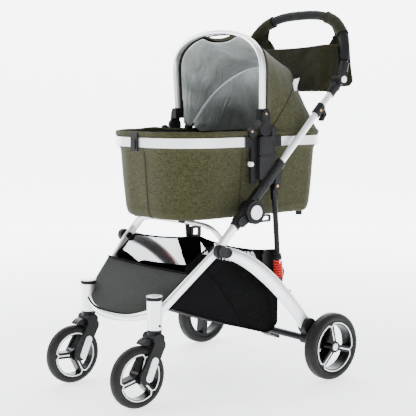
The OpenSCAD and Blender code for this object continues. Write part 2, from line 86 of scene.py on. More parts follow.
def settle(obj):
    """Applies every modifier."""
    graph = bpy.context.evaluated_depsgraph_get()
    final = bpy.data.meshes.new_from_object(obj.evaluated_get(graph))
    obj.modifiers.clear()
    obj.data = final
    return obj


def subdivide(obj, levels=1):
    m = obj.modifiers.new("subdiv", "SUBSURF")
    m.levels = m.render_levels = levels
    return settle(obj)


def thicken(obj, thickness, offset=-1, inner=None, even=True):
    m = obj.modifiers.new("thick", "SOLIDIFY")
    m.thickness = thickness
    m.offset = offset
    m.use_even_offset = even
    if inner is not None:
        m.material_offset = inner
    return settle(obj)


def grid_faces(rows, cols, closed=False):
    out = []
    for i in range(rows - 1):
        for j in range(cols if closed else cols - 1):
            k = (j + 1) % cols
            out.append((i * cols + j, i * cols + k, (i + 1) * cols + k, (i + 1) * cols + j))
    return out


def surface(name, rows, material, flip=False):
    """A sheet through rows of points."""
    faces = grid_faces(len(rows), len(rows[0]))
    if flip:
        faces = [f[::-1] for f in faces]
    return mesh_object(name, [p for r in rows for p in r], faces, material)


def tube_geometry(path, radii, sides=12, closed=False, start=0):
    """A round or oval tube; radii is one number, or one (a, b) or number per point."""
    path = [Vector(p) for p in path]
    n = len(path)
    if not isinstance(radii, (list, tuple)):
        radii = [radii] * n
    tangents = []
    for i in range(n):
        a = path[(i - 1) % n] if closed or i > 0 else path[i]
        b = path[(i + 1) % n] if closed or i < n - 1 else path[i]
        tangents.append((b - a).normalized())
    t = tangents[0]
    up = Vector((1, 0, 0)) if abs(t.x) < 0.8 else Vector((0, 1, 0))
    normal = (up - t * up.dot(t)).normalized()
    verts, faces = [], []
    for i in range(n):
        t = tangents[i]
        normal = (normal - t * normal.dot(t)).normalized()
        side = t.cross(normal)
        r = radii[i] if isinstance(radii[i], (list, tuple)) else (radii[i], radii[i])
        for k in range(sides):
            a = 2 * math.pi * k / sides
            verts.append(path[i] + normal * (r[0] * math.cos(a)) + side * (r[1] * math.sin(a)))
    last = n if closed else n - 1
    for i in range(last):
        for k in range(sides):
            a, b = i * sides, ((i + 1) % n) * sides
            m = (k + 1) % sides
            faces.append(tuple(start + q for q in (a + k, b + k, b + m, a + m)))
    if not closed:
        faces.append(tuple(start + k for k in range(sides)))
        faces.append(tuple(start + (n - 1) * sides + k for k in reversed(range(sides))))
    return verts, faces


def tubes(name, paths, radii, material, sides=8, closed=False):
    """Several tubes in one mesh."""
    verts, faces = [], []
    for path in paths:
        v, f = tube_geometry(path, radii, sides, closed, len(verts))
        verts += v
        faces += [q[::-1] for q in f]
    return mesh_object(name, verts, faces, material)


def tube(name, path, radii, material, sides=12, closed=False):
    return tubes(name, [path], radii, material, sides, closed)


def resample(path, step):
    """Points at an even step along a path."""
    path = [Vector(p) for p in path]
    lengths = [0.0]
    for a, b in zip(path, path[1:]):
        lengths.append(lengths[-1] + (b - a).length)
    count = max(2, int(round(lengths[-1] / step)) + 1)
    out, i = [], 0
    for k in range(count):
        s = lengths[-1] * k / (count - 1)
        while i < len(path) - 2 and lengths[i + 1] < s:
            i += 1
        d = lengths[i + 1] - lengths[i]
        out.append(path[i].lerp(path[i + 1], (s - lengths[i]) / d if d > 1e-9 else 0))
    return out


def stitches(name, paths, material, length=3.2 * MM, gap=1.6 * MM, r=0.45 * MM):
    """Rows of raised thread stitches."""
    verts, faces = [], []
    for path in paths:
        fine = resample(path, (length + gap) / 6)
        i = 0
        while i + 4 < len(fine):
            v, f = tube_geometry(fine[i:i + 5:2], [r * 0.6, r, r * 0.6], 5, False, len(verts))
            verts += v
            faces += [q[::-1] for q in f]
            i += 6
    return mesh_object(name, verts, faces, material)


def turned(name, profile, axis_point, axis, material, sides=48, closed=True):
    """A solid turned about an axis; profile is (radius, height along the axis)."""
    axis = Vector(axis).normalized()
    ref = Vector((0, 0, 1)) if abs(axis.z) < 0.9 else Vector((0, 1, 0))
    u = (ref - axis * ref.dot(axis)).normalized()
    v = axis.cross(u)
    c = Vector(axis_point)
    verts, n = [], len(profile)
    for k in range(sides):
        a = 2 * math.pi * k / sides
        d = u * math.cos(a) + v * math.sin(a)
        verts += [c + d * r + axis * h for r, h in profile]
    faces = []
    for k in range(sides):
        m = (k + 1) % sides
        for i in range(n if closed else n - 1):
            j = (i + 1) % n
            faces.append((k * n + i, m * n + i, m * n + j, k * n + j))
    obj = mesh_object(name, verts, faces, material)
    merge = obj.modifiers.new("weld", "WELD")
    merge.merge_threshold = 1e-6
    return settle(obj)


def circle(x, y, z, r, count):
    """Points of a circle that faces along X."""
    angles = [2 * math.pi * i / count for i in range(count)]
    return [Vector((x, y + r * math.sin(a), z + r * math.cos(a))) for a in angles]


def wave(p, scale, seed=0.0):
    """Smooth noise from -1 to 1."""
    return noise.noise(Vector((p[0] * scale + seed, p[1] * scale - seed, p[2] * scale + 0.37 * seed)))


def mirrored(points):
    return [Vector((-p[0], p[1], p[2])) for p in points]


def mix(a, b, t):
    return a + (b - a) * t


def smooth(t):
    t = min(1.0, max(0.0, t))
    return t * t * (3 - 2 * t)


# ---------------------------------------------------------------- materials

# scale of a band texture, times the pitch of the threads that it draws
NET_BANDS, WEAVE_BANDS = 0.159, 0.31


class Nodes:
    """A small builder for one material's node tree."""

    def __init__(self, name, color, rough, metallic=0.0, **sockets):
        self.material = bpy.data.materials.new(name)
        self.material.use_nodes = True
        self.tree = self.material.node_tree
        self.shader = self.tree.nodes["Principled BSDF"]
        self.shader.inputs["Base Color"].default_value = (*color, 1)
        self.shader.inputs["Roughness"].default_value = rough
        self.shader.inputs["Metallic"].default_value = metallic
        for key, value in sockets.items():
            self.shader.inputs[key.replace("_", " ")].default_value = value
        self.material.diffuse_color = (*color, 1)
        self.coord = self.tree.nodes.new("ShaderNodeTexCoord")

    def link(self, a, b):
        self.tree.links.new(a, b)

    def scaled(self, stretch):
        n = self.tree.nodes.new("ShaderNodeMapping")
        n.inputs["Scale"].default_value = stretch
        self.link(self.coord.outputs["Object"], n.inputs["Vector"])
        return n.outputs["Vector"]

    def noise(self, scale, detail=3.0, stretch=(1, 1, 1), distortion=0.0):
        n = self.tree.nodes.new("ShaderNodeTexNoise")
        n.inputs["Scale"].default_value = scale
        n.inputs["Detail"].default_value = detail
        n.inputs["Distortion"].default_value = distortion
        self.link(self.scaled(stretch), n.inputs["Vector"])
        return n.outputs["Fac"]

    def cells(self, scale):
        n = self.tree.nodes.new("ShaderNodeTexVoronoi")
        n.inputs["Scale"].default_value = scale
        self.link(self.scaled((1, 1, 1)), n.inputs["Vector"])
        return n.outputs["Distance"]

    def grid(self, pitch, first, second, low, high):
        """One on the threads of a square net, zero in its holes."""
        scale = NET_BANDS / pitch
        ways = [self.range(self.bands(scale, way), 0.0, 1.0, low, high) for way in (first, second)]
        return self.math("MAXIMUM", *ways)

    def bands(self, scale, direction):
        n = self.tree.nodes.new("ShaderNodeTexWave")
        n.bands_direction = direction
        n.inputs["Scale"].default_value = scale
        self.link(self.coord.outputs["Object"], n.inputs["Vector"])
        return n.outputs["Fac"]

    def math(self, op, a, b):
        n = self.tree.nodes.new("ShaderNodeMath")
        n.operation = op
        for k, v in enumerate((a, b)):
            if isinstance(v, (int, float)):
                n.inputs[k].default_value = v
            else:
                self.link(v, n.inputs[k])
        return n.outputs[0]

    def ramp(self, fac, stops):
        n = self.tree.nodes.new("ShaderNodeValToRGB")
        e = n.color_ramp.elements
        while len(e) < len(stops):
            e.new(0.5)
        for el, (pos, c) in zip(e, stops):
            el.position = pos
            el.color = (*c, 1) if isinstance(c, tuple) else (c, c, c, 1)
        self.link(fac, n.inputs["Fac"])
        return n.outputs["Color"]

    def blend(self, fac, a, b, mode="MIX"):
        n = self.tree.nodes.new("ShaderNodeMix")
        n.data_type = "RGBA"
        n.blend_type = mode
        for socket, v in ((n.inputs[0], fac), (n.inputs[6], a), (n.inputs[7], b)):
            if isinstance(v, tuple):
                socket.default_value = (*v, 1)
            elif isinstance(v, (int, float)):
                socket.default_value = v
            else:
                self.link(v, socket)
        return n.outputs[2]

    def range(self, fac, low, high, from_low=0.0, from_high=1.0):
        n = self.tree.nodes.new("ShaderNodeMapRange")
        for key, v in (("From Min", from_low), ("From Max", from_high), ("To Min", low), ("To Max", high)):
            n.inputs[key].default_value = v
        self.link(fac, n.inputs["Value"])
        return n.outputs["Result"]

    def edge_wear_and_highlight(self):
        """High on convex edges: partly rubbed wear, partly painted highlight."""
        n = self.tree.nodes.new("ShaderNodeNewGeometry")
        return self.range(n.outputs["Pointiness"], 0.0, 1.0, 0.52, 0.62)

    def color(self, socket):
        self.link(socket, self.shader.inputs["Base Color"])

    def rough(self, socket):
        self.link(socket, self.shader.inputs["Roughness"])

    def bump(self, height, distance, strength=1.0):
        n = self.tree.nodes.new("ShaderNodeBump")
        n.inputs["Strength"].default_value = strength
        n.inputs["Distance"].default_value = distance
        self.link(height, n.inputs["Height"])
        if self.shader.inputs["Normal"].is_linked:
            self.link(self.shader.inputs["Normal"].links[0].from_socket, n.inputs["Normal"])
        self.link(n.outputs["Normal"], self.shader.inputs["Normal"])


def metal(name, color, rough, fleck):
    m = Nodes(name, color, rough, 0.9)
    dark = tuple(c * (1 - fleck) for c in color)
    m.color(m.ramp(m.noise(38, 4, distortion=0.4), [(0.3, dark), (0.7, color)]))
    m.rough(m.range(m.noise(260, 5), rough - 0.06, rough + 0.09))
    m.bump(m.noise(1900, 2), 0.00004, 0.5)
    return m.material


def plastic(name, color, rough, grain=1400, depth=0.00012, edge_wear_and_highlight_amount=0.35, coat=0.0, gloss=0.14):
    m = Nodes(name, color, rough, Coat_Weight=coat, Specular_IOR_Level=gloss)
    # light is the colour of the lightened convex edges: partly rubbed wear, partly painted highlight
    light = tuple(min(1, c * 2.6 + 0.02) for c in color)
    patch = tuple(c * 1.35 for c in color)
    tone = m.ramp(m.noise(22, 5), [(0.35, color), (0.75, patch)])
    # convex edges blend towards light: partly rubbed wear, partly painted highlight
    edge = m.math("MULTIPLY", m.edge_wear_and_highlight(), m.range(m.noise(300, 4), 0.0, edge_wear_and_highlight_amount, 0.35, 0.7))
    m.color(m.blend(edge, tone, light))
    m.rough(m.range(m.noise(90, 5), rough - 0.08, rough + 0.1))
    m.bump(m.cells(grain), depth, 0.6)
    return m.material


def cloth(name, light, dark, rough=0.88, pitch=1.05 * MM, slub=0.75, sheen=0.12, deep=0.00035):
    """Plain weave: warp and weft threads of two tones, with slubs and a soft nap."""
    m = Nodes(name, light, rough, Sheen_Weight=sheen, Sheen_Roughness=0.5, Specular_IOR_Level=0.06)
    k = 1 / pitch
    warp = m.noise(1.0, 2, (k * 0.9, k * 0.9, k * 0.11))
    weft = m.noise(1.0, 2, (k * 0.09, k * 0.09, k * 0.95))
    thread = m.math("ADD", m.math("MULTIPLY", warp, 0.5), m.math("MULTIPLY", weft, 0.5))
    tone = m.ramp(thread, [(0.36, dark), (0.64, light)])
    mottle = m.ramp(m.noise(160, 5, distortion=0.6), [(0.3, 1 - 0.26 * slub), (0.72, 1.0)])
    wide = m.ramp(m.noise(7, 3), [(0.3, 0.94), (0.7, 1.0)])
    m.color(m.blend(1.0, m.blend(1.0, tone, mottle, "MULTIPLY"), wide, "MULTIPLY"))
    m.rough(m.range(m.noise(120, 3), rough - 0.08, min(1.0, rough + 0.06)))
    height = m.math("MULTIPLY", m.bands(WEAVE_BANDS * k, "Z"), m.bands(WEAVE_BANDS * k, "DIAGONAL"))
    m.bump(m.math("ADD", height, thread), deep, 0.55)
    return m.material


def satin(name, light, dark):
    """Silver-coated lining: a tight weave with a soft metallic gloss and fine creases."""
    m = Nodes(name, light, 0.36, 0.25, Sheen_Weight=0.2, Sheen_Roughness=0.3)
    m.color(m.ramp(m.noise(9, 4, distortion=1.2), [(0.32, dark), (0.68, light)]))
    m.rough(m.range(m.noise(60, 4), 0.3, 0.47))
    m.bump(m.noise(1.0, 3, (24, 24, 10), 2.2), 0.007, 0.6)
    m.bump(m.noise(1500, 2), 0.00008, 0.5)
    return m.material


def netting(name, color, first, second):
    """Knitted mesh with real see-through holes."""
    m = Nodes(name, color, 0.8, Specular_IOR_Level=0.1)
    m.link(m.grid(1.5 * MM, first, second, 0.8, 0.9), m.shader.inputs["Alpha"])
    m.color(m.ramp(m.noise(900, 2), [(0.35, tuple(c * 0.6 for c in color)), (0.7, color)]))
    return m.material


def foam(name, color, rough, scale, patch):
    m = Nodes(name, color, rough, Specular_IOR_Level=0.14)
    dusty = tuple(min(1, c * patch) for c in color)
    m.color(m.ramp(m.noise(30, 6, distortion=0.5), [(0.35, color), (0.78, dusty)]))
    m.rough(m.range(m.noise(150, 4), rough - 0.1, min(1.0, rough + 0.08)))
    m.bump(m.noise(scale, 4), 0.00025, 0.6)
    return m.material


ALUMINIUM = metal("satin_aluminium", (0.93, 0.935, 0.94), 0.36, 0.05)
BRONZE = metal("rivet_bronze", (0.5, 0.31, 0.17), 0.35, 0.2)
BLACK = plastic("grained_black_plastic", (0.0055, 0.0055, 0.0057), 0.42)
STEEL = plastic("powder_coated_steel", (0.003, 0.003, 0.0033), 0.36, 2400, 0.00006, 0.1)
PALE = plastic("pale_plastic", (0.9, 0.905, 0.91), 0.3, 2600, 0.00003, 0.0, 0.2)
TRIM = plastic("white_trim", (0.93, 0.93, 0.92), 0.32, 2600, 0.00003, 0.0)
TYRE = foam("tyre_foam", (0.0105, 0.0108, 0.009), 0.56, 2200, 1.9)
WHEEL = plastic("gloss_black_wheel", (0.0028, 0.0028, 0.003), 0.25, 1800, 0.00004, 0.1)
FOAM = foam("grip_foam", (0.0058, 0.0068, 0.0068), 0.66, 1300, 1.7)
OLIVE = cloth("olive_heather_weave", (0.062, 0.0622, 0.027), (0.0185, 0.0185, 0.0075))
OLIVE_HEM = cloth("olive_binding", (0.04, 0.039, 0.017), (0.014, 0.0135, 0.006))
# the bag's cloth is the olive weave darkened with painted shade, for the shade it hangs in behind the seat
BAG_CLOTH_PAINTED_SHADE = cloth("olive_bag_cloth_painted_shade", (0.026, 0.0248, 0.0098), (0.008, 0.0076, 0.003),
                  0.85, 0.9 * MM, 0.8, 0.1)
PANEL = cloth("slate_panel_cloth", (0.03, 0.0325, 0.028), (0.0145, 0.016, 0.0135),
              0.7, 0.8 * MM, 0.4, 0.08)
DARK_CLOTH = cloth("black_cloth", (0.0042, 0.0042, 0.0048), (0.0014, 0.0014, 0.0016),
                   0.8, 0.9 * MM, 0.4, 0.0)
INNER = cloth("carrier_lining", (0.03, 0.029, 0.022), (0.011, 0.011, 0.009), 0.85, 0.8 * MM, 0.5)
MAT = cloth("grey_mat_cloth", (0.34, 0.35, 0.32), (0.2, 0.2, 0.19), 0.9, 1.2 * MM, 0.6, 0.3)
WEB = cloth("black_webbing", (0.004, 0.004, 0.0045), (0.0013, 0.0013, 0.0015), 0.75, 1.4 * MM, 0.4, 0.0)
LINING = satin("silver_lining", (0.52, 0.555, 0.54), (0.27, 0.3, 0.285))
RIB = satin("pale_rib_binding", (0.8, 0.83, 0.82), (0.6, 0.63, 0.62))
NET_SIDE = netting("black_net_sides", (0.005, 0.005, 0.0055), "Y", "Z")
NET_REAR = netting("black_net_rear", (0.005, 0.005, 0.0055), "X", "Z")
THREAD = foam("olive_thread", (0.024, 0.022, 0.011), 0.7, 3000, 1.3)
LABEL = foam("blank_label", (0.78, 0.78, 0.8), 0.7, 2200, 1.05)
RED = plastic("red_spring_paint", (0.66, 0.016, 0.012), 0.33, 2200, 0.00003, 0.2, 0.3)
BOARD = plastic("board_plastic", (0.02, 0.02, 0.02), 0.6)
SLOT_MATERIAL = {"aluminium": ALUMINIUM, "black_plastic": BLACK, "dark_metal": STEEL, "white_trim": PALE,
                 "tyre": TYRE, "wheel": WHEEL, "foam": FOAM, "olive_fabric": OLIVE,
                 "basket_fabric": DARK_CLOTH, "mat": MAT, "board": BOARD, "spring": RED}

for row in frame["record"]["subparts"]:
    data = frame["nodes"][row["node"]].data
    data.materials.clear()
    data.materials.append(SLOT_MATERIAL[row["material_slot"]])


def place(obj, body, slot, *replaced):
    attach(obj, body)
    if replaced:
        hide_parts(*replaced)
    return obj


def fitting(name, profile, at, axis, material, sides, body, slot, closed=False):
    """A small turned piece on a body; its profile is in millimetres."""
    profile = [(r * MM, h * MM) for r, h in profile]
    return place(turned(name, profile, at, axis, material, sides, closed), body, slot)


# ---------------------------------------------------------------- carrier body

# millimetres: half width, the two ends and the corner radii of the rim, half length, and the middle in metres
RIM_X, RIM_FRONT, RIM_REAR = 177, -214, 308
FRONT_CORNER, REAR_CORNER = 130, 70
RIM_HALF, MIDDLE_Y = 261, 0.047


def outline(inset, z):
    """Plan outline of the carrier from the rear middle round by the left side, as points."""
    x, f, b = RIM_X - inset, RIM_FRONT + inset, RIM_REAR - inset
    fr, br = FRONT_CORNER - inset, REAR_CORNER - inset
    pts = [(0.0, b)] + [((x - br) * k / 8, b) for k in range(1, 9)]
    for k in range(1, 15):
        a = math.radians(90 * k / 14)
        pts.append((x - br + br * math.sin(a), b - br + br * math.cos(a)))
    pts += [(x, mix(b - br, f + fr, k / 30)) for k in range(1, 31)]
    for k in range(1, 31):
        a = math.radians(90 * k / 30)
        pts.append((x - fr + fr * math.cos(a), f + fr - fr * math.sin(a)))
    pts += [((x - fr) * (1 - k / 7), f) for k in range(1, 8)]
    pts += [(-p[0], p[1]) for p in pts[-2:0:-1]]
    return [Vector((p[0] * MM, p[1] * MM, z * MM)) for p in pts]


# (inset from the rim's outline, height) in millimetres: up the outer wall, over the cuff, down the lining
LEVELS = [(70, 438.5), (46, 438.3), (38.5, 439), (34, 441.6), (30.6, 446), (27.6, 454), (25, 464),
          (23.6, 480), (22, 498), (20.6, 516), (19.2, 534), (17.8, 552), (16.4, 570), (15, 588), (13.8, 603),
          (12.4, 614), (7.4, 619.5), (5.6, 626), (5.4, 640), (4.9, 645.2), (2.2, 646.8), (0.3, 649.6),
          (-0.3, 653.6), (0.7, 658.4), (3.6, 661.4), (6.9, 660.6), (9.4, 656), (10.6, 648), (11.6, 634),
          (14.6, 612), (19, 580), (22, 545), (25, 510), (28, 475), (34, 455), (40, 445), (47, 441),
          (70, 440.7)]
EDGE_LEVEL, CUFF_LEVEL, LINING_LEVEL = 6, 21, 26


def outward(p):
    """The level direction from the carrier's middle to a point."""
    return Vector((p.x, p.y - MIDDLE_Y, 0)).normalized()


def build_carrier():
    rows = []
    for i, (inset, z) in enumerate(LEVELS):
        ring = outline(inset, z)
        outer = 446 < z < 618 and i < 20
        inner = 446 < z < 640 and i > 27
        out = []
        for p in ring:
            n = Vector((p.x / RIM_X, (p.y - MIDDLE_Y) / RIM_HALF, 0)).normalized()
            if outer or inner:
                depth = math.sin(math.pi * (z - 446) / 180)
                soft = wave((p.x, p.y, p.z * 0.45), 17, 3.1) * 1.9
                soft += wave((p.x, p.y, p.z * 1.6), 42, 8.4) * 0.55
                low = wave((p.x, p.y, p.z * 2.6), 60, 1.7) * 1.2 * smooth((500 - z) / 60)
                p = p + n * ((soft + low) * depth * MM - (0.6 * MM if outer else 0))
            elif 649 < z < 662:
                far = math.exp(-((p.y + 0.035) / 0.035) ** 2) * (0.0045 if p.x < -0.1 else 0.0)
                p = p + Vector((0, 0, wave(p, 34, 5.2) * 1.3 * MM + far)) + n * wave(p, 60, 2.2) * 0.5 * MM
            out.append(p)
        rows.append(out)
    n = len(rows[0])
    verts = [p for r in rows for p in r]
    faces = grid_faces(len(rows), n, True)
    base = len(verts)
    verts += [row[0].lerp(row[n // 2], 0.5) for row in (rows[0], rows[-1])]
    for j in range(n):
        k = (j + 1) % n
        faces.append((base, k, j))
        faces.append((base + 1, (len(rows) - 1) * n + j, (len(rows) - 1) * n + k))
    index = [1 if min(f) >= LINING_LEVEL * n else 0 for f in faces]
    body = mesh_object("carrier_body", verts, [f[::-1] for f in faces], [OLIVE, INNER], True, index)
    return subdivide(body, 1), rows


carrier_body, carrier_rows = build_carrier()
place(carrier_body, "carrier", "olive_fabric", "carrier_shell")


def wall_line(column, low=2, high=17, out=0.25 * MM, shift=0.0):
    """A line up the outer wall at one column of the outline, pushed outwards and sideways."""
    pts = []
    n = len(carrier_rows[0])
    for i in range(low, high):
        p = carrier_rows[i][column]
        side = (carrier_rows[i][(column + 1) % n] - carrier_rows[i][column - 1]).normalized()
        normal = Vector((-side.y, side.x, 0))
        if normal.dot(outward(p)) < 0:
            normal.negate()
        pts.append(p + normal * out + side * shift)
    return pts


def column_near(x, y):
    """The outline column nearest to a place on the wall."""
    row = carrier_rows[12]
    return min(range(len(row)), key=lambda j: (row[j].x - x) ** 2 + (row[j].y - y) ** 2)


SEAM_PLACES = ((0.022, -0.206), (0.168, 0.002), (-0.168, 0.002), (0.0, 0.3))
seam_columns = [column_near(*q) for q in SEAM_PLACES]
place(tubes("carrier_seam_welts", [wall_line(c) for c in seam_columns], 0.75 * MM, OLIVE_HEM, 8),
      "carrier", "olive_fabric")
seam_stitches = [wall_line(c, out=0.5 * MM, shift=s * 3.4 * MM) for c in seam_columns for s in (-1, 1)]
place(stitches("carrier_seam_stitches", seam_stitches, THREAD), "carrier", "olive_fabric")
for name, level, out in (("carrier_edge_stitches", EDGE_LEVEL, 0.5 * MM),
                         ("cuff_stitches", CUFF_LEVEL, 0.35 * MM)):
    line = [p + outward(p) * out for p in carrier_rows[level]]
    place(stitches(name, [line + line[:1]], THREAD), "carrier", "olive_fabric")


# ---------------------------------------------------------------- mat in the carrier

CLOTH_FRAMES = 20
MAT_INSET = 51                      # from the rim's outline, in millimetres
QUILT, QUILT_DEEP, QUILT_HALF = 0.055, 4.2 * MM, 4 * MM


def cloth_pad(obj, pressure, cap, voxel):
    """Fills a closed piece with air as cloth, keeps each point within cap, and applies the result."""
    m = obj.modifiers.new("remesh", "REMESH")
    m.mode = "VOXEL"
    m.voxel_size = voxel
    settle(obj)
    rest = [v.co.copy() for v in obj.data.vertices]
    c = obj.modifiers.new("cloth", "CLOTH")
    c.settings.use_pressure = True
    c.settings.uniform_pressure_force = pressure
    c.settings.effector_weights.gravity = 0
    c.point_cache.frame_start, c.point_cache.frame_end = 1, CLOTH_FRAMES
    scene = bpy.context.scene
    for f in range(1, CLOTH_FRAMES + 1):
        scene.frame_set(f)
    settle(obj)
    scene.frame_set(1)
    for v, r in zip(obj.data.vertices, rest):
        d = v.co - r
        if d.length > cap:
            v.co = r + d.normalized() * cap
    return subdivide(obj, 1)


def build_mat():
    low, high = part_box("carrier_mat")
    ring = outline(MAT_INSET, 0)
    levels = (low.z + 1 * MM, low.z + 8 * MM, high.z - 6 * MM)
    n = len(ring)
    verts = [Vector((p.x, p.y, z)) for z in levels for p in ring]
    faces = grid_faces(len(levels), n, True) + [tuple(range(n))[::-1], tuple(range(2 * n, 3 * n))]
    mat = mesh_object("carrier_mat_pad", verts, [f[::-1] for f in faces], MAT)
    cloth_pad(mat, 4.0, 5 * MM, 5.5 * MM)
    floor, top = low.z + 0.2 * MM, high.z - 0.4 * MM
    for v in mat.data.vertices:
        q = v.co
        if q.z > floor + 8 * MM:
            channel = min(abs((q.x / QUILT) % 1 - 0.5), abs((q.y / QUILT) % 1 - 0.5)) * QUILT
            q.z -= QUILT_DEEP * math.exp(-(channel / QUILT_HALF) ** 2)
        q.z = min(max(q.z, floor), top)
    return mat


mat = place(build_mat(), "carrier", "mat", "carrier_mat")


# ---------------------------------------------------------------- hood

BOW_TOP, BOW_B = 0.924, 0.1
BOW_FLARE, BOW_FORWARD = 0.005, 0.008
BOW_FOOT_Z, BOW_RISE, SLOT_HALF = 0.694, 0.23, 0.066
FRONT_ROUND, REAR_ROUND = 2.3, 2.2
REAR_HINGE = Vector((0, 0.097, 0.664))
LEAN = math.radians(40)


def arch(a, b, n, steps, legs, low, flare=0.0):
    """(x, height) points of an arch from its left foot over the top to its right foot.

    Height 0 is at its spring line, b below its top; n sets how square its shoulders are.
    """
    left = [(a - flare * (1 - k / legs), mix(low, 0, k / legs)) for k in range(legs)]
    over = []
    for k in range(steps + 1):
        w = math.pi * k / steps
        c = math.cos(w)
        over.append((a * math.copysign(abs(c) ** (2 / n), c), b * max(0.0, math.sin(w)) ** (2 / n)))
    return left + over + [(-x, h) for x, h in left[::-1]]


STEPS, LEGS = 48, 8
REAR_HALF_POINTS, HEM_FRONT_Y = 53, 0.128


def front_row(a, b, y, low, dip=0.0):
    """An arch in the front bow's plane, sunk by dip along the slot at its top."""
    z0 = BOW_TOP - 0.006 - BOW_B
    out = []
    for x, h in arch(a, b, FRONT_ROUND, STEPS, LEGS, low - z0, BOW_FLARE):
        z = z0 + h
        if abs(x) < SLOT_HALF:
            z -= dip * (1 - (x / SLOT_HALF) ** 2) ** 0.7
        out.append(Vector((x, y - BOW_FORWARD * (z - BOW_FOOT_Z) / BOW_RISE, z)))
    return out


def rear_row(a, b, reach, low):
    """An arch in the rear bow's plane; reach is its height along the lean."""
    out = []
    for x, h in arch(a, b, REAR_ROUND, STEPS, LEGS, low - (reach - b)):
        q = reach - b + h
        out.append(Vector((x, REAR_HINGE.y + q * math.sin(LEAN), REAR_HINGE.z + q * math.cos(LEAN))))
    return out


def rim_row(inset, z, like):
    """The rim from its left side round the rear to its right, one point for each point of another row."""
    half = [p for p in outline(inset, z)[:REAR_HALF_POINTS] if p.y > HEM_FRONT_Y]
    line = resample(half[::-1] + mirrored(half[1:]), 2 * MM)
    total = [0.0]
    for a, b in zip(like, like[1:]):
        total.append(total[-1] + (b - a).length)
    last = len(line) - 1
    return [line[min(last, int(round(t / total[-1] * last)))] for t in total]


def loft(a, b, rows, sag, ripple=None):
    """Rows from a to b; each point sinks by sag towards the middle line, and ripple(s, t, p) adds folds."""
    out = []
    n = len(a)
    for i in range(rows + 1):
        t = i / rows
        row = []
        for j in range(n):
            p = a[j].lerp(b[j], t)
            inward = Vector((-p.x * 4, 0.12 - p.y, 0.74 - p.z)).normalized()
            amount = sag * 4 * t * (1 - t)
            if ripple:
                amount += ripple(j / (n - 1), t, p)
            row.append(p + inward * amount)
        out.append(row)
    return out


def taut(seed, amount):
    """Small tension wrinkles that fade at both edges."""
    def f(s, t, p):
        fade = math.sin(math.pi * min(1, max(0, t)))
        return amount * fade * (wave((p.x * 0.5, p.y * 2, p.z * 0.7), 26, seed) + 0.4 * wave(p, 60, seed + 4))
    return f


def draped(seed, amount, folds, slant):
    """Soft hanging folds of the lining."""
    def f(s, t, p):
        fade = math.sin(math.pi * min(1, max(0, t))) ** 0.7
        ridge = noise.noise(Vector((s * folds + slant * t * 3, t * 1.1, seed)))
        fine = noise.noise(Vector((s * folds * 2.3 - slant * t * 5, t * 2.2, seed + 7)))
        sharp = 1 - abs(ridge) * 2
        return amount * fade * (sharp * 0.8 + fine * 0.55)
    return f


OUT_FRONT = front_row(0.1835, 0.1035, 0.0725, BOW_FOOT_Z, 0.021)
OUT_REAR = rear_row(0.1695, 0.167, 0.2295, 0.006)
OUT_RIM = rim_row(2.2, 655.5, OUT_REAR)
IN_FRONT = front_row(0.1705, 0.0925, 0.0735, 0.672, 0.02)
IN_REAR = rear_row(0.1605, 0.1615, 0.2195, 0.002)
IN_RIM = rim_row(11.5, 650, IN_REAR)


def hood_sheet(name, rows, material, body_a, body_b, start, end, flat, slot, area):
    obj = surface(name, rows, material)
    subdivide(obj, 1)
    thicken(obj, 0.9 * MM, 0.0)
    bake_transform(obj)
    return obj


FRONT_BLEND = ((0, 0.1829, 0.6144), (0, 0.0238, 0.7063))
REAR_BLEND = ((0, 0.300, 0.655), (0, 0.240, 0.836))
canopy_front = hood_sheet("canopy_front", loft(OUT_FRONT, OUT_REAR, 14, 3 * MM, taut(2.0, 1.6 * MM)), OLIVE,
                          "carrier", "hood", *FRONT_BLEND, (0.62, 0.19), "olive_fabric", 0.094)
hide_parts("canopy")
hood_sheet("canopy_rear", loft(OUT_REAR, OUT_RIM, 14, 2 * MM, taut(5.0, 2.2 * MM)), OLIVE,
           "carrier", "rear_bow", *REAR_BLEND, (0.62, 0.2), "olive_fabric", 0.087)
hood_sheet("lining_front", loft(IN_FRONT, IN_REAR, 18, 2 * MM, draped(1.3, 3.2 * MM, 5, 0.9)), LINING,
           "carrier", "hood", *FRONT_BLEND, (0.6, 0.18), "olive_fabric", 0.087)
hood_sheet("lining_rear", loft(IN_REAR, IN_RIM, 18, 3 * MM, draped(4.7, 5.5 * MM, 7, 0.5)), LINING,
           "carrier", "rear_bow", *REAR_BLEND, (0.6, 0.18), "olive_fabric", 0.084)

# binding along the top slot, the seam over the rear bow, and the hem on the rim
slot_edge = [p for p in OUT_FRONT if abs(p.x) < 0.085 and p.z > 0.85]
slot_binding = tube("slot_binding", [p + Vector((0, -0.0012, 0)) for p in slot_edge], 1.9 * MM, OLIVE_HEM, 10)
place(slot_binding, "hood", "olive_fabric")
seam_path = resample([p + (p - Vector((0, 0.16, 0.7))).normalized() * 1.0 * MM for p in OUT_REAR], 5 * MM)
place(tube("canopy_seam", seam_path, 1.5 * MM, OLIVE_HEM, 8), "rear_bow", "olive_fabric")
hem_path = resample([p + Vector((0, 0, 0.8 * MM)) for p in OUT_RIM], 5 * MM)
place(tube("canopy_rim_hem", hem_path, [(1.4 * MM, 2.6 * MM)] * len(hem_path), OLIVE_HEM, 10),
      "carrier", "olive_fabric")


def beside(rows_path, towards, shift, lift):
    out = []
    for p, q in zip(rows_path, towards):
        d = (q - p).normalized()
        n = Vector((p.x * 4, p.y - 0.12, p.z - 0.74)).normalized()
        out.append(p + d * shift + n * lift)
    return out


front_stitch = beside(OUT_FRONT, OUT_REAR, 7 * MM, 0.7 * MM)
place(stitches("canopy_front_stitches", [front_stitch[4:-4]], THREAD), "hood", "olive_fabric")

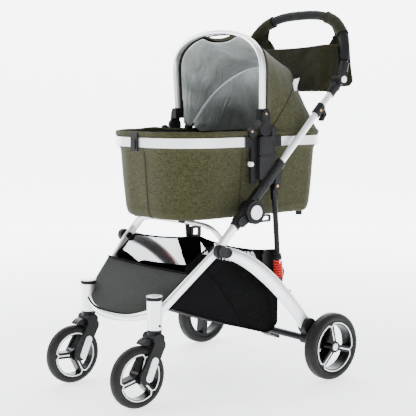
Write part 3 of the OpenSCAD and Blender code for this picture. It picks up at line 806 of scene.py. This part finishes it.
# sleeve of the rear bow, seen inside as a pale rib
sleeve = resample(rear_row(0.162, 0.163, 0.222, 0.012), 5 * MM)
place(tube("rear_bow_sleeve", sleeve, 5.6 * MM, RIB, 14), "rear_bow", "olive_fabric")
edge = [p - Vector((0, math.cos(LEAN), -math.sin(LEAN))) * 5.4 * MM for p in sleeve[6:-6]]
place(tube("rear_bow_sleeve_piping", edge, 1.0 * MM, DARK_CLOTH, 8), "rear_bow", "basket_fabric")

# dark binding that holds the lining along the inner edge of the front bow
bind = resample(front_row(0.1725, 0.0935, 0.0745, 0.705, 0.0), 6 * MM)
place(tube("bow_binding", bind, 2.0 * MM, WEB, 10), "hood", "basket_fabric")


def label(name, corner, along, down, body):
    """A folded blank tag sewn into a seam."""
    rows = []
    across = along.cross(down).normalized()
    for i in range(9):
        t = i / 8
        curl = across * (2.2 * MM * math.sin(math.pi * t) + 0.6 * MM)
        rows.append([corner + down * t + along * (k / 4) + curl * (0.4 + 0.15 * k) for k in range(5)])
    obj = surface(name, rows, LABEL)
    thicken(obj, 0.7 * MM)
    return place(obj, body, "olive_fabric")


TAG_HEIGHT = 0.796
tag_top = min((p for p in OUT_REAR if p.x > 0), key=lambda p: abs(p.z - TAG_HEIGHT))
label("seam_tag", tag_top + Vector((0.013, -0.009, 0.0)), Vector((0.004, 0.0175, 0.0045)),
      Vector((0.001, -0.012, -0.0335)), "rear_bow")


# ---------------------------------------------------------------- organiser bag on the handle

HINGE_Y, HINGE_Z, BAR_HALF, BAR_LEAN = 0.322, 0.794, 0.204, math.radians(14.5)
BAR_TOP, BAR_RADIUS, BAR_ROUND = 0.991, 0.013, 2 / 2.8
BAR_HEIGHT = (BAR_TOP - BAR_RADIUS - HINGE_Z) / math.cos(BAR_LEAN)


def bar_path(steps=120):
    """The middle line of the handlebar's bend."""
    out = []
    for k in range(steps + 1):
        w = math.pi * k / steps
        c = math.cos(w)
        x = BAR_HALF * math.copysign(abs(c) ** BAR_ROUND, c)
        q = BAR_HEIGHT * max(0.0, math.sin(w)) ** BAR_ROUND
        out.append(Vector((x, HINGE_Y + q * math.sin(BAR_LEAN), HINGE_Z + q * math.cos(BAR_LEAN))))
    return out


# shares of the bag's height, its corner radius, and the middle and limits of its depth
BAG_SHARES = (0, 0.03, 0.1, 0.22, 0.36, 0.5, 0.64, 0.78, 0.9, 0.97, 1.0)
BAG_CORNER, BAG_MIDDLE, BAG_FRONT, BAG_BACK = 0.022, 0.34, 0.3065, 0.3745


def bag_ring(half, front, back, z):
    """One level of the bag, a rounded box drawn from its left rear corner."""
    r = BAG_CORNER
    ring = []
    for sx, sy, a0 in ((1, 1, 0), (-1, 1, 90), (-1, -1, 180), (1, -1, 270)):
        near, far = (back, front + r) if sy > 0 else (front, back - r)
        cx, cy = sx * (half - r), near - sy * r
        for k in range(9):
            a = math.radians(a0 + 90 * k / 8)
            ring.append(Vector((cx + r * math.cos(a), cy + r * math.sin(a), z)))
        if sx == sy:
            ring += [Vector((mix(cx, -cx, k / 30), near, z)) for k in range(1, 30)]
        else:
            ring += [Vector((sx * half, mix(cy, far, k / 4), z)) for k in range(1, 4)]
    return ring


def build_bag():
    """An open bag of cloth that hangs between the sides of the handlebar."""
    rows = []
    for t in BAG_SHARES:
        half = mix(0.148, 0.1585, smooth(t * 3))
        front = mix(0.3125, 0.3085, t) - 0.004 * math.sin(math.pi * t)
        row = []
        for p in bag_ring(half, front, mix(0.3685, 0.3715, t), mix(0.7622, 0.888, t)):
            dip = 0.007 * (1 - (p.x / half) ** 2) * t ** 3
            crease = abs(wave((p.x - (p.z - 0.79) * 0.9, p.y, p.z * 0.4), 24, 3.3))
            bulge = (0.004 * math.sin(math.pi * t) - crease * 0.009) * (1 if t < 0.95 else 0.3)
            y = max(p.y - bulge, BAG_FRONT) if p.y < BAG_MIDDLE else min(p.y + bulge, BAG_BACK)
            row.append(Vector((p.x, y, p.z - dip)))
        rows.append(row)
    n = len(rows[0])
    verts = [p for r in rows for p in r]
    faces = grid_faces(len(rows), n, True) + [tuple(range(n))[::-1]]
    bag = mesh_object("organiser_bag", verts, faces, BAG_CLOTH_PAINTED_SHADE)
    tri = bag.modifiers.new("tri", "TRIANGULATE")
    tri.min_vertices = 5
    settle(bag)
    subdivide(bag, 1)
    thicken(bag, 1.6 * MM, -1, even=False)
    return bag, rows


bag, bag_rows = build_bag()
place(bag, "handlebar", "olive_fabric", "organiser")
top_ring = bag_rows[-1]
hem = resample(top_ring + top_ring[:1], 5 * MM)[:-1]
place(tube("organiser_top_hem", hem, 1.8 * MM, OLIVE_HEM, 10, True), "handlebar", "olive_fabric")
under = [p + Vector((0, -0.6 * MM if p.y < BAG_MIDDLE else 0.6 * MM, -9 * MM)) for p in top_ring]
place(stitches("organiser_stitches", [under + under[:1]], THREAD), "handlebar", "olive_fabric")


# (height, x) down the handlebar's inside and outside, from the bag's foot to the top of the sleeve
WING_INNER = [(0.774, 0.134), (0.84, 0.140), (0.868, 0.130), (0.889, 0.106), (0.904, 0.119), (0.918, 0.133),
              (0.932, 0.128), (0.948, 0.122)]
WING_OUTER = [(0.777, 0.190), (0.79, 0.202), (0.812, 0.1965), (0.84, 0.192), (0.87, 0.189), (0.9, 0.186),
              (0.92, 0.183), (0.935, 0.176), (0.948, 0.164), (0.956, 0.152)]
SLEEVE_X, SLEEVE_Z, SLEEVE_R = 0.103, 0.915, 0.0156


def along_line(line, t):
    """The (height, x) place a share t of the way through a list of them."""
    f = t * (len(line) - 1)
    i = min(int(f), len(line) - 2)
    return mix(line[i][0], line[i + 1][0], f - i), mix(line[i][1], line[i + 1][1], f - i)


def build_wing(side, name):
    """The bag's rear wall reaches out and up to the bend of the handlebar."""
    rows = []
    for i in range(29):
        z0, x0 = along_line(WING_OUTER, i / 28)
        z1, x1 = along_line(WING_INNER, i / 28)
        row = []
        for k in range(15):
            u = k / 14
            y = mix(0.3712, 0.3722, u) - 0.006 * smooth((mix(z0, z1, u) - 0.9) / 0.05)
            p = Vector((mix(x0, x1, u), y, mix(z0, z1, u)))
            p.y += 0.003 * wave((p.x * 1.4 + p.z, 0, p.z * 0.8 - p.x), 34, 6.1) * math.sin(math.pi * u)
            row.append(Vector((p.x * side, min(p.y, BAG_BACK), p.z)))
        rows.append(row)
    obj = surface("organiser_wing_" + name, rows, BAG_CLOTH_PAINTED_SHADE, flip=side < 0)
    subdivide(obj, 1)
    thicken(obj, 1.2 * MM, 0)
    place(obj, "handlebar", "olive_fabric")


def build_wrap(side, name):
    """The sleeve round the grip."""
    part = resample([p for p in bar_path() if side * p.x > SLEEVE_X and p.z > SLEEVE_Z], 4 * MM)
    verts = []
    n, sides = len(part), 20
    normal = Vector((0, math.cos(BAR_LEAN), -math.sin(BAR_LEAN)))
    for i, c in enumerate(part):
        along = (part[min(i + 1, n - 1)] - part[max(i - 1, 0)]).normalized()
        across = along.cross(normal)
        for k in range(sides):
            a = 2 * math.pi * k / sides
            r = SLEEVE_R + 0.0017 * wave((c.x * 7, k * 0.02, c.z * 7), 11, 1.1)
            r += 0.0012 if i in (0, n - 1) else 0
            verts.append(c + (normal * math.cos(a) + across * math.sin(a)) * r)
    faces = grid_faces(n, sides, True)
    if side < 0:
        faces = [f[::-1] for f in faces]
    wrap = mesh_object("organiser_wrap_" + name, verts, faces, BAG_CLOTH_PAINTED_SHADE)
    subdivide(wrap, 1)
    thicken(wrap, 1.0 * MM, 0)
    place(wrap, "handlebar", "olive_fabric")


SNAP = ((0, -1), (5.2, -1), (5.6, 0.3), (4.4, 1.6), (0, 2.2))
for side, name in SIDES:
    build_wing(side, name)
    build_wrap(side, name)
    fitting("organiser_snap_" + name, SNAP, (side * 0.134, 0.3655, 0.9105), (0, -1, 0), BLACK, 24,
            "handlebar", "black_plastic")


# ---------------------------------------------------------------- basket

# corners of one side: foot, low rear, top rear, top front, panel top
FOOT, LOW_REAR = Vector((0.132, -0.2086, 0.229)), Vector((0.158, 0.132, 0.150))
TOP_REAR, TOP_FRONT = Vector((0.161, 0.129, 0.3445)), Vector((0.160, -0.104, 0.374))
PANEL_TOP = Vector((0.149, -0.168, 0.329))
SIDE_LIMIT = 0.1655
BOTTOM = [FOOT, Vector((0.154, 0.094, 0.1265)), Vector((0.156, 0.118, 0.1315)), LOW_REAR]


def bottom_edge(u):
    """The lower edge of a side, from its front to its rounded rear corner."""
    if u < 0.8:
        p = BOTTOM[0].lerp(BOTTOM[1], u / 0.8)
        p.z -= 0.003 * math.sin(math.pi * u / 0.8)
        return p
    low, start = (1, 0.8) if u < 0.9 else (2, 0.9)
    return BOTTOM[low].lerp(BOTTOM[low + 1], (u - start) / 0.1)


def basket_side(side):
    """One side, drawn as rows from the bottom edge to the top edge."""
    cols, rows = 31, 15
    out = []
    for i in range(rows):
        t = i / (rows - 1)
        row = []
        for j in range(cols):
            u = j / (cols - 1)
            bottom = bottom_edge(u)
            if u < 0.25:
                top = FOOT.lerp(PANEL_TOP, u / 0.25)
            elif u < 0.45:
                top = PANEL_TOP.lerp(TOP_FRONT, (u - 0.25) / 0.2)
            else:
                top = TOP_FRONT.lerp(TOP_REAR, (u - 0.45) / 0.55)
                top.z -= 0.006 * math.sin(math.pi * (u - 0.45) / 0.55)
            p = bottom.lerp(top, t)
            bulge = 0.0045 * math.sin(math.pi * t) * math.sin(math.pi * u)
            p.x += bulge + 0.003 * wave(p, 22, 2.7) * math.sin(math.pi * t)
            p.x = min(p.x, SIDE_LIMIT)
            row.append(Vector((p.x * side, p.y, p.z)))
        out.append(row)
    return out


def squashed(obj):
    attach(obj, "front_frame")
    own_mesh(obj)
    return obj


def basket_sheet(name, rows, material, flip=False):
    obj = surface(name, rows, material, flip=flip)
    subdivide(obj, 1)
    thicken(obj, 0.9 * MM, 0)
    squashed(obj)
    return obj


def part_of(rows, name, side, cut):
    """An opaque piece sewn over one side from its start to a share of each row, or from there to its end."""
    piece = []
    for i, row in enumerate(rows):
        a, b = cut(i / (len(rows) - 1))
        line = []
        for k in range(15):
            f = mix(a, b, k / 14) * (len(row) - 1)
            q = min(int(f), len(row) - 2)
            line.append(row[q].lerp(row[q + 1], f - q) + Vector((side * 0.9 * MM, 0, 0)))
        piece.append(line)
    basket_sheet(name, piece, DARK_CLOTH, side < 0)
    return piece


for side, name in SIDES:
    rows = basket_side(side)
    basket_sheet("basket_net_" + name, rows, NET_SIDE, side < 0)
    # the opaque corner in front of the slanting seam, and the one at the rear
    corner = part_of(rows, "basket_corner_" + name, side, lambda t: (0.0, mix(0.62, 0.29, t)))
    part_of(rows, "basket_rear_corner_" + name, side, lambda t: (mix(0.93, 0.8, t), 1.0))
    # black cloth behind the net up to about two thirds of the height
    lower = [[p - Vector((side * 2 * MM, 0, 0)) for p in row] for row in rows[:10]]
    basket_sheet("basket_backing_" + name, lower, DARK_CLOTH, side < 0)
    edge = [line[-1] + Vector((side * 0.8 * MM, 0, 0)) for line in corner]
    squashed(tube("basket_seam_" + name, resample(edge, 5 * MM), 1.2 * MM, DARK_CLOTH, 8))

# floor, rear wall and the front panel
floor_rows = []
for i in range(23):
    a = bottom_edge(i / 22)
    row = []
    for k in range(17):
        x = a.x * (1 - 2 * k / 16)
        sag = 0.008 * math.sin(math.pi * k / 16) * math.sin(math.pi * i / 22)
        row.append(Vector((x, a.y, max(0.1255, a.z - sag + 0.0012 * wave((x, a.y, 0), 30, 1.0)))))
    floor_rows.append(row)
floor_cloth = basket_sheet("basket_floor", floor_rows, DARK_CLOTH)
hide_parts("basket")


def wall_point(t, u):
    """A place on the rear wall: t from foot to top, u from the left edge at 1 to the right edge at -1."""
    p = LOW_REAR.lerp(TOP_REAR, t)
    dip = 0.014 * (1 - abs(u) ** 2.2) * t ** 1.5
    y = p.y + 0.005 * math.sin(math.pi * t) * (1 - u * u) + 0.003 * wave((u, t, 0), 4, 5)
    return Vector((p.x * u, y, p.z - dip))


def wall_piece(name, material, inside, t0, t1, u0, u1):
    """A piece of the rear wall between two heights, t0(s) and t1(s), and two sideways places, u0 and u1."""
    rows = []
    for i in range(11):
        row = []
        for k in range(17):
            s = k / 16
            t = mix(t0(s), t1(s), i / 10)
            row.append(wall_point(t, mix(u0, u1, s)) + Vector((0, inside, 0)))
        rows.append(row)
    basket_sheet(name, rows, material, True)
    return rows


wall_top = wall_piece("basket_rear_net", NET_REAR, 0,
                      lambda s: 0.74, lambda s: 1.0, 1, -1)
wall_piece("basket_rear_wall", DARK_CLOTH, 0, lambda s: 0.0, lambda s: 0.76, 1, -1)
for side, name in SIDES:
    wall_piece("basket_rear_gusset_" + name, DARK_CLOTH, -1.2 * MM,
               lambda s: mix(0.76, 0.96, s ** 1.5), lambda s: 0.99, 0.6 * side, side)

CROSS_HALF, STEM_Y = 0.131, -0.265
LEG_FOOT, LEG_BEND = Vector((0.144, -0.260, 0.2163)), Vector((0.1883, -0.1117, 0.3605))


def cross_tube(x):
    u = x / CROSS_HALF
    return Vector((x, STEM_Y - 0.003 - 0.030 * (1 - u * u), 0.222 - 0.020 * (1 - abs(u) ** 2.8)))


def leg_front(share, x_offset, out):
    """A place on the front face of the left leg, a share of the way from its foot to its bend."""
    p = LEG_FOOT.lerp(LEG_BEND, share)
    return p + Vector((x_offset, -0.697 * out, 0.717 * out))


PANEL_HALF = 0.1305
panel_rows = []
for i in range(19):
    t = i / 18
    share = mix(-0.01, 0.632, t)
    near = leg_front(share, -0.0078, 0.008)
    far = leg_front(share, 0.0085, 0.0132)
    far.x = -far.x
    row = []
    for k in range(29):
        u = 1 - 2 * k / 28
        low = cross_tube(u * PANEL_HALF) + Vector((0, -0.001, 0.0085))
        edge = near.lerp(far, k / 28)
        hug = (1 - abs(u) ** 6) * (1 - t) ** 1.4
        p = edge.lerp(Vector((edge.x, low.y + 0.142 * t * 0.62, low.z + 0.113 * t)), hug)
        p.x = edge.x
        p.y += (0.004 * math.sin(math.pi * t) * (1 - u ** 4)
                + 0.0018 * wave((p.x, p.y, p.z), 13, 4.0) * math.sin(math.pi * t))
        p.z -= 0.004 * (1 - u * u) * t
        row.append(p)
    panel_rows.append(row)
basket_sheet("basket_front_panel", panel_rows, PANEL, True)

basket_edges = []
for side in (1, -1):
    rows = basket_side(side)
    out = side * 0.8 * MM
    basket_edges += [[p + Vector((out, 0, 0.5 * MM)) for p in rows[-1][7:]],
                     [p + Vector((out, 0, 0)) for p in rows[0]],
                     [row[-1] for row in rows]]
basket_edges += [[p + Vector((0, 1 * MM, 0)) for p in wall_top[-1]],
                 [p + Vector((0, -1 * MM, 1 * MM)) for p in panel_rows[-1]],
                 [p + Vector((0, -0.5 * MM, 0)) for p in panel_rows[0][1:-1]]]
basket_edges = [resample(line, 6 * MM) for line in basket_edges]
squashed(tubes("basket_piping", basket_edges, 2.6 * MM, DARK_CLOTH, 10))


# ---------------------------------------------------------------- springs

STRUT_X, STRUT_LOW, STRUT_TOP = 0.186, (0.113, 0.258), (0.092, 0.517)
COIL_TURNS, COIL_START, COIL_END, COIL_R, WIRE_R = 7, 0.0163, 0.0640, 0.0108, 2.1 * MM
COLLAR_AT, ANCHOR_AT = 0.0668, 0.0145
COLLAR = ((7.3, 0), (11.2, 0.6), (11.6, 5), (10.4, 12), (7.3, 13.5))


def spring(side, name):
    """The red coil on the strut's rod, and the collar that it pushes on."""
    low, top = (Vector((side * STRUT_X, *place_at)) for place_at in (STRUT_LOW, STRUT_TOP))
    d = (top - low).normalized()
    u = Vector((1, 0, 0))
    v = d.cross(u)
    path = []
    steps = COIL_TURNS * 20
    for k in range(steps + 1):
        f = k / steps
        a = 2 * math.pi * COIL_TURNS * f
        path.append(low + d * mix(COIL_START, COIL_END, f)
                    + u * (COIL_R * math.cos(a)) + v * (COIL_R * math.sin(a)))
    obj = tube("coil_" + name, path, WIRE_R, RED, 10)
    place(obj, "strut_" + name, "spring", "spring_" + name)
    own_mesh(obj)
    fitting("spring_collar_" + name, COLLAR, low + d * COLLAR_AT, d, BLACK, 32, "shock_" + name,
            "black_plastic", True)


for side, name in SIDES:
    spring(side, name)


# ---------------------------------------------------------------- wheels

LINE_FLAT, RING_WIDE, SPOKE_WIDE = 0.7 * MM, 1.6 * MM, 1.9 * MM
DIP_DEPTH, DIP_SPREAD = 0.0075, 9.0


def wheel_trim(name, body, face, y, z, side, ring_r, spoke_out, spoke_in, angles, cap_r):
    """White lines moulded on a wheel's face.

    They are a ring that dips at each spoke, a line down each spoke, and a hub cap where cap_r isn't 0.
    """
    def at(angle, r):
        a = math.radians(angle)
        return Vector((face, y + r * math.sin(a), z + r * math.cos(a)))
    ring = []
    for k in range(360):
        near = min(abs((k - a + 180) % 360 - 180) for a in angles)
        ring.append(at(k, ring_r - DIP_DEPTH * max(0.0, 1 - near / DIP_SPREAD)))
    verts, faces = tube_geometry(ring, [(LINE_FLAT, RING_WIDE)] * 360, 8, True)
    for a in angles:
        line = [at(a, spoke_out), at(a, spoke_in)]
        v, f = tube_geometry(line, [(LINE_FLAT, SPOKE_WIDE)] * 2, 8, False, len(verts))
        verts += v
        faces += f
    place(mesh_object(name, verts, [q[::-1] for q in faces], TRIM), body, "white_trim")
    if cap_r:
        profile = ((0, 1.8), (cap_r * 0.6, 1.6), (cap_r * 0.92, 0.7), (cap_r, -0.6), (cap_r, -1.2), (0, -1.2))
        fitting(name + "_cap", profile, (face, y, z), (side, 0, 0), PALE, 40, body, "white_trim")


def wheel_angles(turn):
    """Spoke directions, clockwise from straight up as seen from the left."""
    return [(180 - turn - 120 * k) % 360 for k in range(3)]


REAR_TURN = {1: 74, -1: 115}
FRONT_TURN = {1: 42, -1: 26}
REAR_X, REAR_AXLE, REAR_HALF = 0.267, (0.228, 0.089), 0.0162
FRONT_X, FRONT_AXLE, FRONT_HALF = 0.145, (-0.317, 0.076), 0.0127
REAR_CAP = 10.5
for side, name in SIDES:
    wheel_trim("rear_trim_" + name, "rear_wheel_" + name, side * REAR_X + side * REAR_HALF, *REAR_AXLE, side,
               0.0645, 0.0575, 0.0185, wheel_angles(REAR_TURN[side]), REAR_CAP)
    for face, tag in ((1, "outer"), (-1, "inner")):
        out = face * side
        wheel_trim("front_trim_" + tag + "_" + name, "front_wheel_" + name, side * FRONT_X + out * FRONT_HALF,
                   *FRONT_AXLE, out, 0.0565, 0.0505, 0.017, wheel_angles(FRONT_TURN[side]), 0)


def pill(name, low, high, r, x, out, body, material, slot):
    """A long rounded insert on a flat face that looks along X."""
    d = (high - low).normalized()
    n = Vector((0, -d.z, d.y))
    ring = []
    for c, a0 in ((high, -90), (low, 90)):
        for k in range(17):
            a = math.radians(a0 + 180 * k / 16)
            ring.append(c + d * (r * math.cos(a)) + n * (r * math.sin(a)))
    rows = []
    centre = (low + high) / 2
    for shrink, h in ((1.0, -0.5 * MM), (1.0, 0.7 * MM), (0.93, 1.3 * MM), (0.7, 1.55 * MM)):
        row = []
        for p in ring:
            keep = 1 - (1 - shrink) * (r / (p - centre).length)
            row.append(Vector((x + out * h, mix(centre.y, p.y, keep), mix(centre.z, p.z, keep))))
        rows.append(row)
    verts = [p for q in rows for p in q]
    m = len(ring)
    faces = grid_faces(4, m, True) + [tuple(range(m))[::-1], tuple(range(3 * m, 4 * m))]
    if out > 0:
        faces = [f[::-1] for f in faces]
    return place(mesh_object(name, verts, faces, material), body, slot)


INSERT_LOW, INSERT_HIGH = Vector((0, -0.2985, 0.0745)), Vector((0, -0.2815, 0.1135))
INSERT_R, ARM_FACE = 0.0098, 0.0245
STEM_RING = ((18.6, 0), (20.1, 0.3), (20.5, 2), (20.5, 7.2), (19.4, 9.2), (16.4, 9.6), (15.6, 8.4), (15.6, 4))
STEM_CAP = ((0, 2.6), (9, 2.1), (14.4, 0.9), (15.4, -0.6), (15.4, -2), (0, -2))
STEM_TAB = ((0, 3.4), (2.2, 3.2), (3.2, 1.8), (3.4, -1), (0, -1))
RING_Z, CAP_Z, TAB_Z, TAB_OUT = 0.2575, 0.2665, 0.1965, 0.0183
UP = (0, 0, 1)
for side, name in SIDES:
    for face in (1, -1):
        tag = "outer" if face == side else "inner"
        pill("fork_insert_" + tag + "_" + name, INSERT_LOW, INSERT_HIGH, INSERT_R,
             side * FRONT_X + face * ARM_FACE, face, "caster_" + name, PALE, "white_trim")
    stem = Vector((side * FRONT_X, STEM_Y, 0))
    fitting("stem_ring_" + name, STEM_RING, stem + Vector((0, 0, RING_Z)), UP, BLACK, 56, "front_frame",
            "black_plastic", True)
    fitting("stem_cap_" + name, STEM_CAP, stem + Vector((0, 0, CAP_Z)), UP, ALUMINIUM, 56, "front_frame",
            "aluminium")
    for s, end in ((1, "_a"), (-1, "_b")):
        fitting("stem_tab_" + name + end, STEM_TAB, stem + Vector((s * TAB_OUT, 0.002, TAB_Z)), (s, 0, 0),
                BLACK, 20, "front_frame", "black_plastic")


# ---------------------------------------------------------------- rivets, lines and small fittings

# a domed head, as shares of its radius
RIVET = ((0, 0.42), (0.45, 0.38), (0.85, 0.18), (1, -0.1), (1, -0.4), (0, -0.4))


def rivet(name, at, axis, r, body):
    profile = [(r * out, r * up) for out, up in RIVET]
    return place(turned(name, profile, at, axis, BRONZE, 24, False), body, "dark_metal")


# the catch sits this far up the upper tube, which leans at this angle from its foot at (y, z)
TUBE_FOOT, TUBE_ANGLE, CATCH_ALONG = (-0.106, 0.366), math.radians(44.2), 0.497
CATCH = (TUBE_FOOT[0] + CATCH_ALONG * math.cos(TUBE_ANGLE), TUBE_FOOT[1] + CATCH_ALONG * math.sin(TUBE_ANGLE))
# (y, z, first direction) of the adaptor outline's corners
ADAPTOR_CORNERS = ((0.0805, 0.6385, 0), (0.0475, 0.6345, 90), (0.0475, 0.6045, 180), (0.0805, 0.6045, 270))
RIVETS = (("strut", 0.2006, (0.092, 0.519), 4.2, "handle_frame"), ("catch", 0.1997, CATCH, 3.8, "catch_{}"),
          ("socket", 0.1902, (0.0605, 0.7045), 3.4, "hood"), ("lug", 0.1842, (0.018, 0.660), 3.6, "carrier"))
for side, name in SIDES:
    for what, x, at, r, body in RIVETS:
        rivet(what + "_rivet_" + name, (side * x, *at), (side, 0, 0), r * MM, body.format(name))
    rivet("leg_rivet_" + name, (side * 0.2226, 0.100, 0.2445), (side, 0, 0.12), 3.4 * MM, "rear_frame")
    # ribbed face of the hood hinge, and the ring on the fold hinge
    for k, r in enumerate((17.2, 12.6)):
        groove = circle(side * 0.1912, 0.058, 0.668, r * MM, 56)
        place(tube(f"hood_disc_ring_{k}_{name}", groove, 0.8 * MM, BLACK, 8, True), "hood", "black_plastic")
    hub_ring = circle(side * 0.2124, 0.007, 0.457, 23.5 * MM, 72)
    place(tube("hub_ring_" + name, hub_ring, 1.1 * MM, BLACK, 8, True), "front_frame", "black_plastic")
    # rounded outline on the adaptor box
    frame_line = []
    for cy, cz, a0 in ADAPTOR_CORNERS:
        for k in range(7):
            a = math.radians(a0 + 90 * k / 6)
            frame_line.append(Vector((side * 0.1921, cy + 5 * MM * math.cos(a), cz + 5 * MM * math.sin(a))))
    place(tube("adaptor_line_" + name, frame_line, 0.7 * MM, BLACK, 8, True), "carrier", "black_plastic")


# ---------------------------------------------------------------- stage, light and camera

# level and downward angles of the camera's line of sight
AZIMUTH, TILT = math.radians(50.16), math.radians(6.21)


def stage_material(name, color, rough, glow):
    """A matt colour that glows more with distance from the origin, between the two distances in glow."""
    m = Nodes(name, color, rough, Emission_Color=(0.965, 0.975, 1.0, 1))
    away = m.tree.nodes.new("ShaderNodeVectorMath")
    away.operation = "LENGTH"
    m.link(m.coord.outputs["Object"], away.inputs[0])
    m.link(m.range(away.outputs["Value"], glow[0], glow[1], 0.7, 2.6), m.shader.inputs["Emission Strength"])
    m.color(m.ramp(m.noise(0.8, 2), [(0.3, tuple(c * 0.985 for c in color)), (0.7, color)]))
    return m.material


def studio_sweep():
    """A pale floor that curves up into a wall behind the stroller."""
    back = Vector((-math.sin(AZIMUTH), math.cos(AZIMUTH), 0))
    across = Vector((back.y, -back.x, 0))
    reach, bend, wide, high = 3.2, 1.6, 7, 6.5
    profile = [(-wide, 0), (reach, 0)]
    for k in range(1, 13):
        a = math.radians(90 * k / 12)
        profile.append((reach + bend * math.sin(a), bend - bend * math.cos(a)))
    profile.append((reach + bend, high))
    rows = [[back * d + across * w + Vector((0, 0, z)) for w in (-wide, 0, wide)] for d, z in profile]
    return surface("studio_sweep", rows, stage_material("pale_floor", (0.87, 0.89, 0.93), 0.9, (2.1, 4.6)))


studio_sweep()

world = bpy.data.worlds.new("studio")
bpy.context.scene.world = world
world.use_nodes = True
backdrop = world.node_tree.nodes["Background"]
backdrop.inputs["Color"].default_value = (0.93, 0.95, 0.98, 1)
backdrop.inputs["Strength"].default_value = 0.5


def area_light(name, place_at, aim, size, power, color=(1, 1, 1)):
    data = bpy.data.lights.new(name, "AREA")
    data.shape = "RECTANGLE"
    data.size, data.size_y = size
    data.energy = power
    data.color = color
    obj = bpy.data.objects.new(name, data)
    bpy.context.scene.collection.objects.link(obj)
    obj.location = place_at
    obj.rotation_euler = (Vector(aim) - Vector(place_at)).to_track_quat("-Z", "Y").to_euler()


area_light("key", (-1.4, -2.8, 2.9), (0, 0, 0.5), (1.6, 1.6), 100, (1, 0.99, 0.97))
area_light("fill", (3.2, -0.4, 1.9), (0, 0.1, 0.5), (2.2, 2.2), 34, (0.96, 0.98, 1))
area_light("top", (-0.4, 0.6, 3.4), (0, 0, 0.4), (2.6, 2.6), 60)

camera = bpy.data.objects.new("camera", bpy.data.cameras.new("camera"))
bpy.context.scene.collection.objects.link(camera)
camera.location = (2.05578, -1.68993, 0.74086)
look = Vector((-math.sin(AZIMUTH) * math.cos(TILT), math.cos(AZIMUTH) * math.cos(TILT), -math.sin(TILT)))
camera.rotation_euler = look.to_track_quat("-Z", "Y").to_euler()
camera.data.sensor_width = 36
camera.data.lens = 86.48
camera.data.clip_end = 60
bpy.context.scene.camera = camera
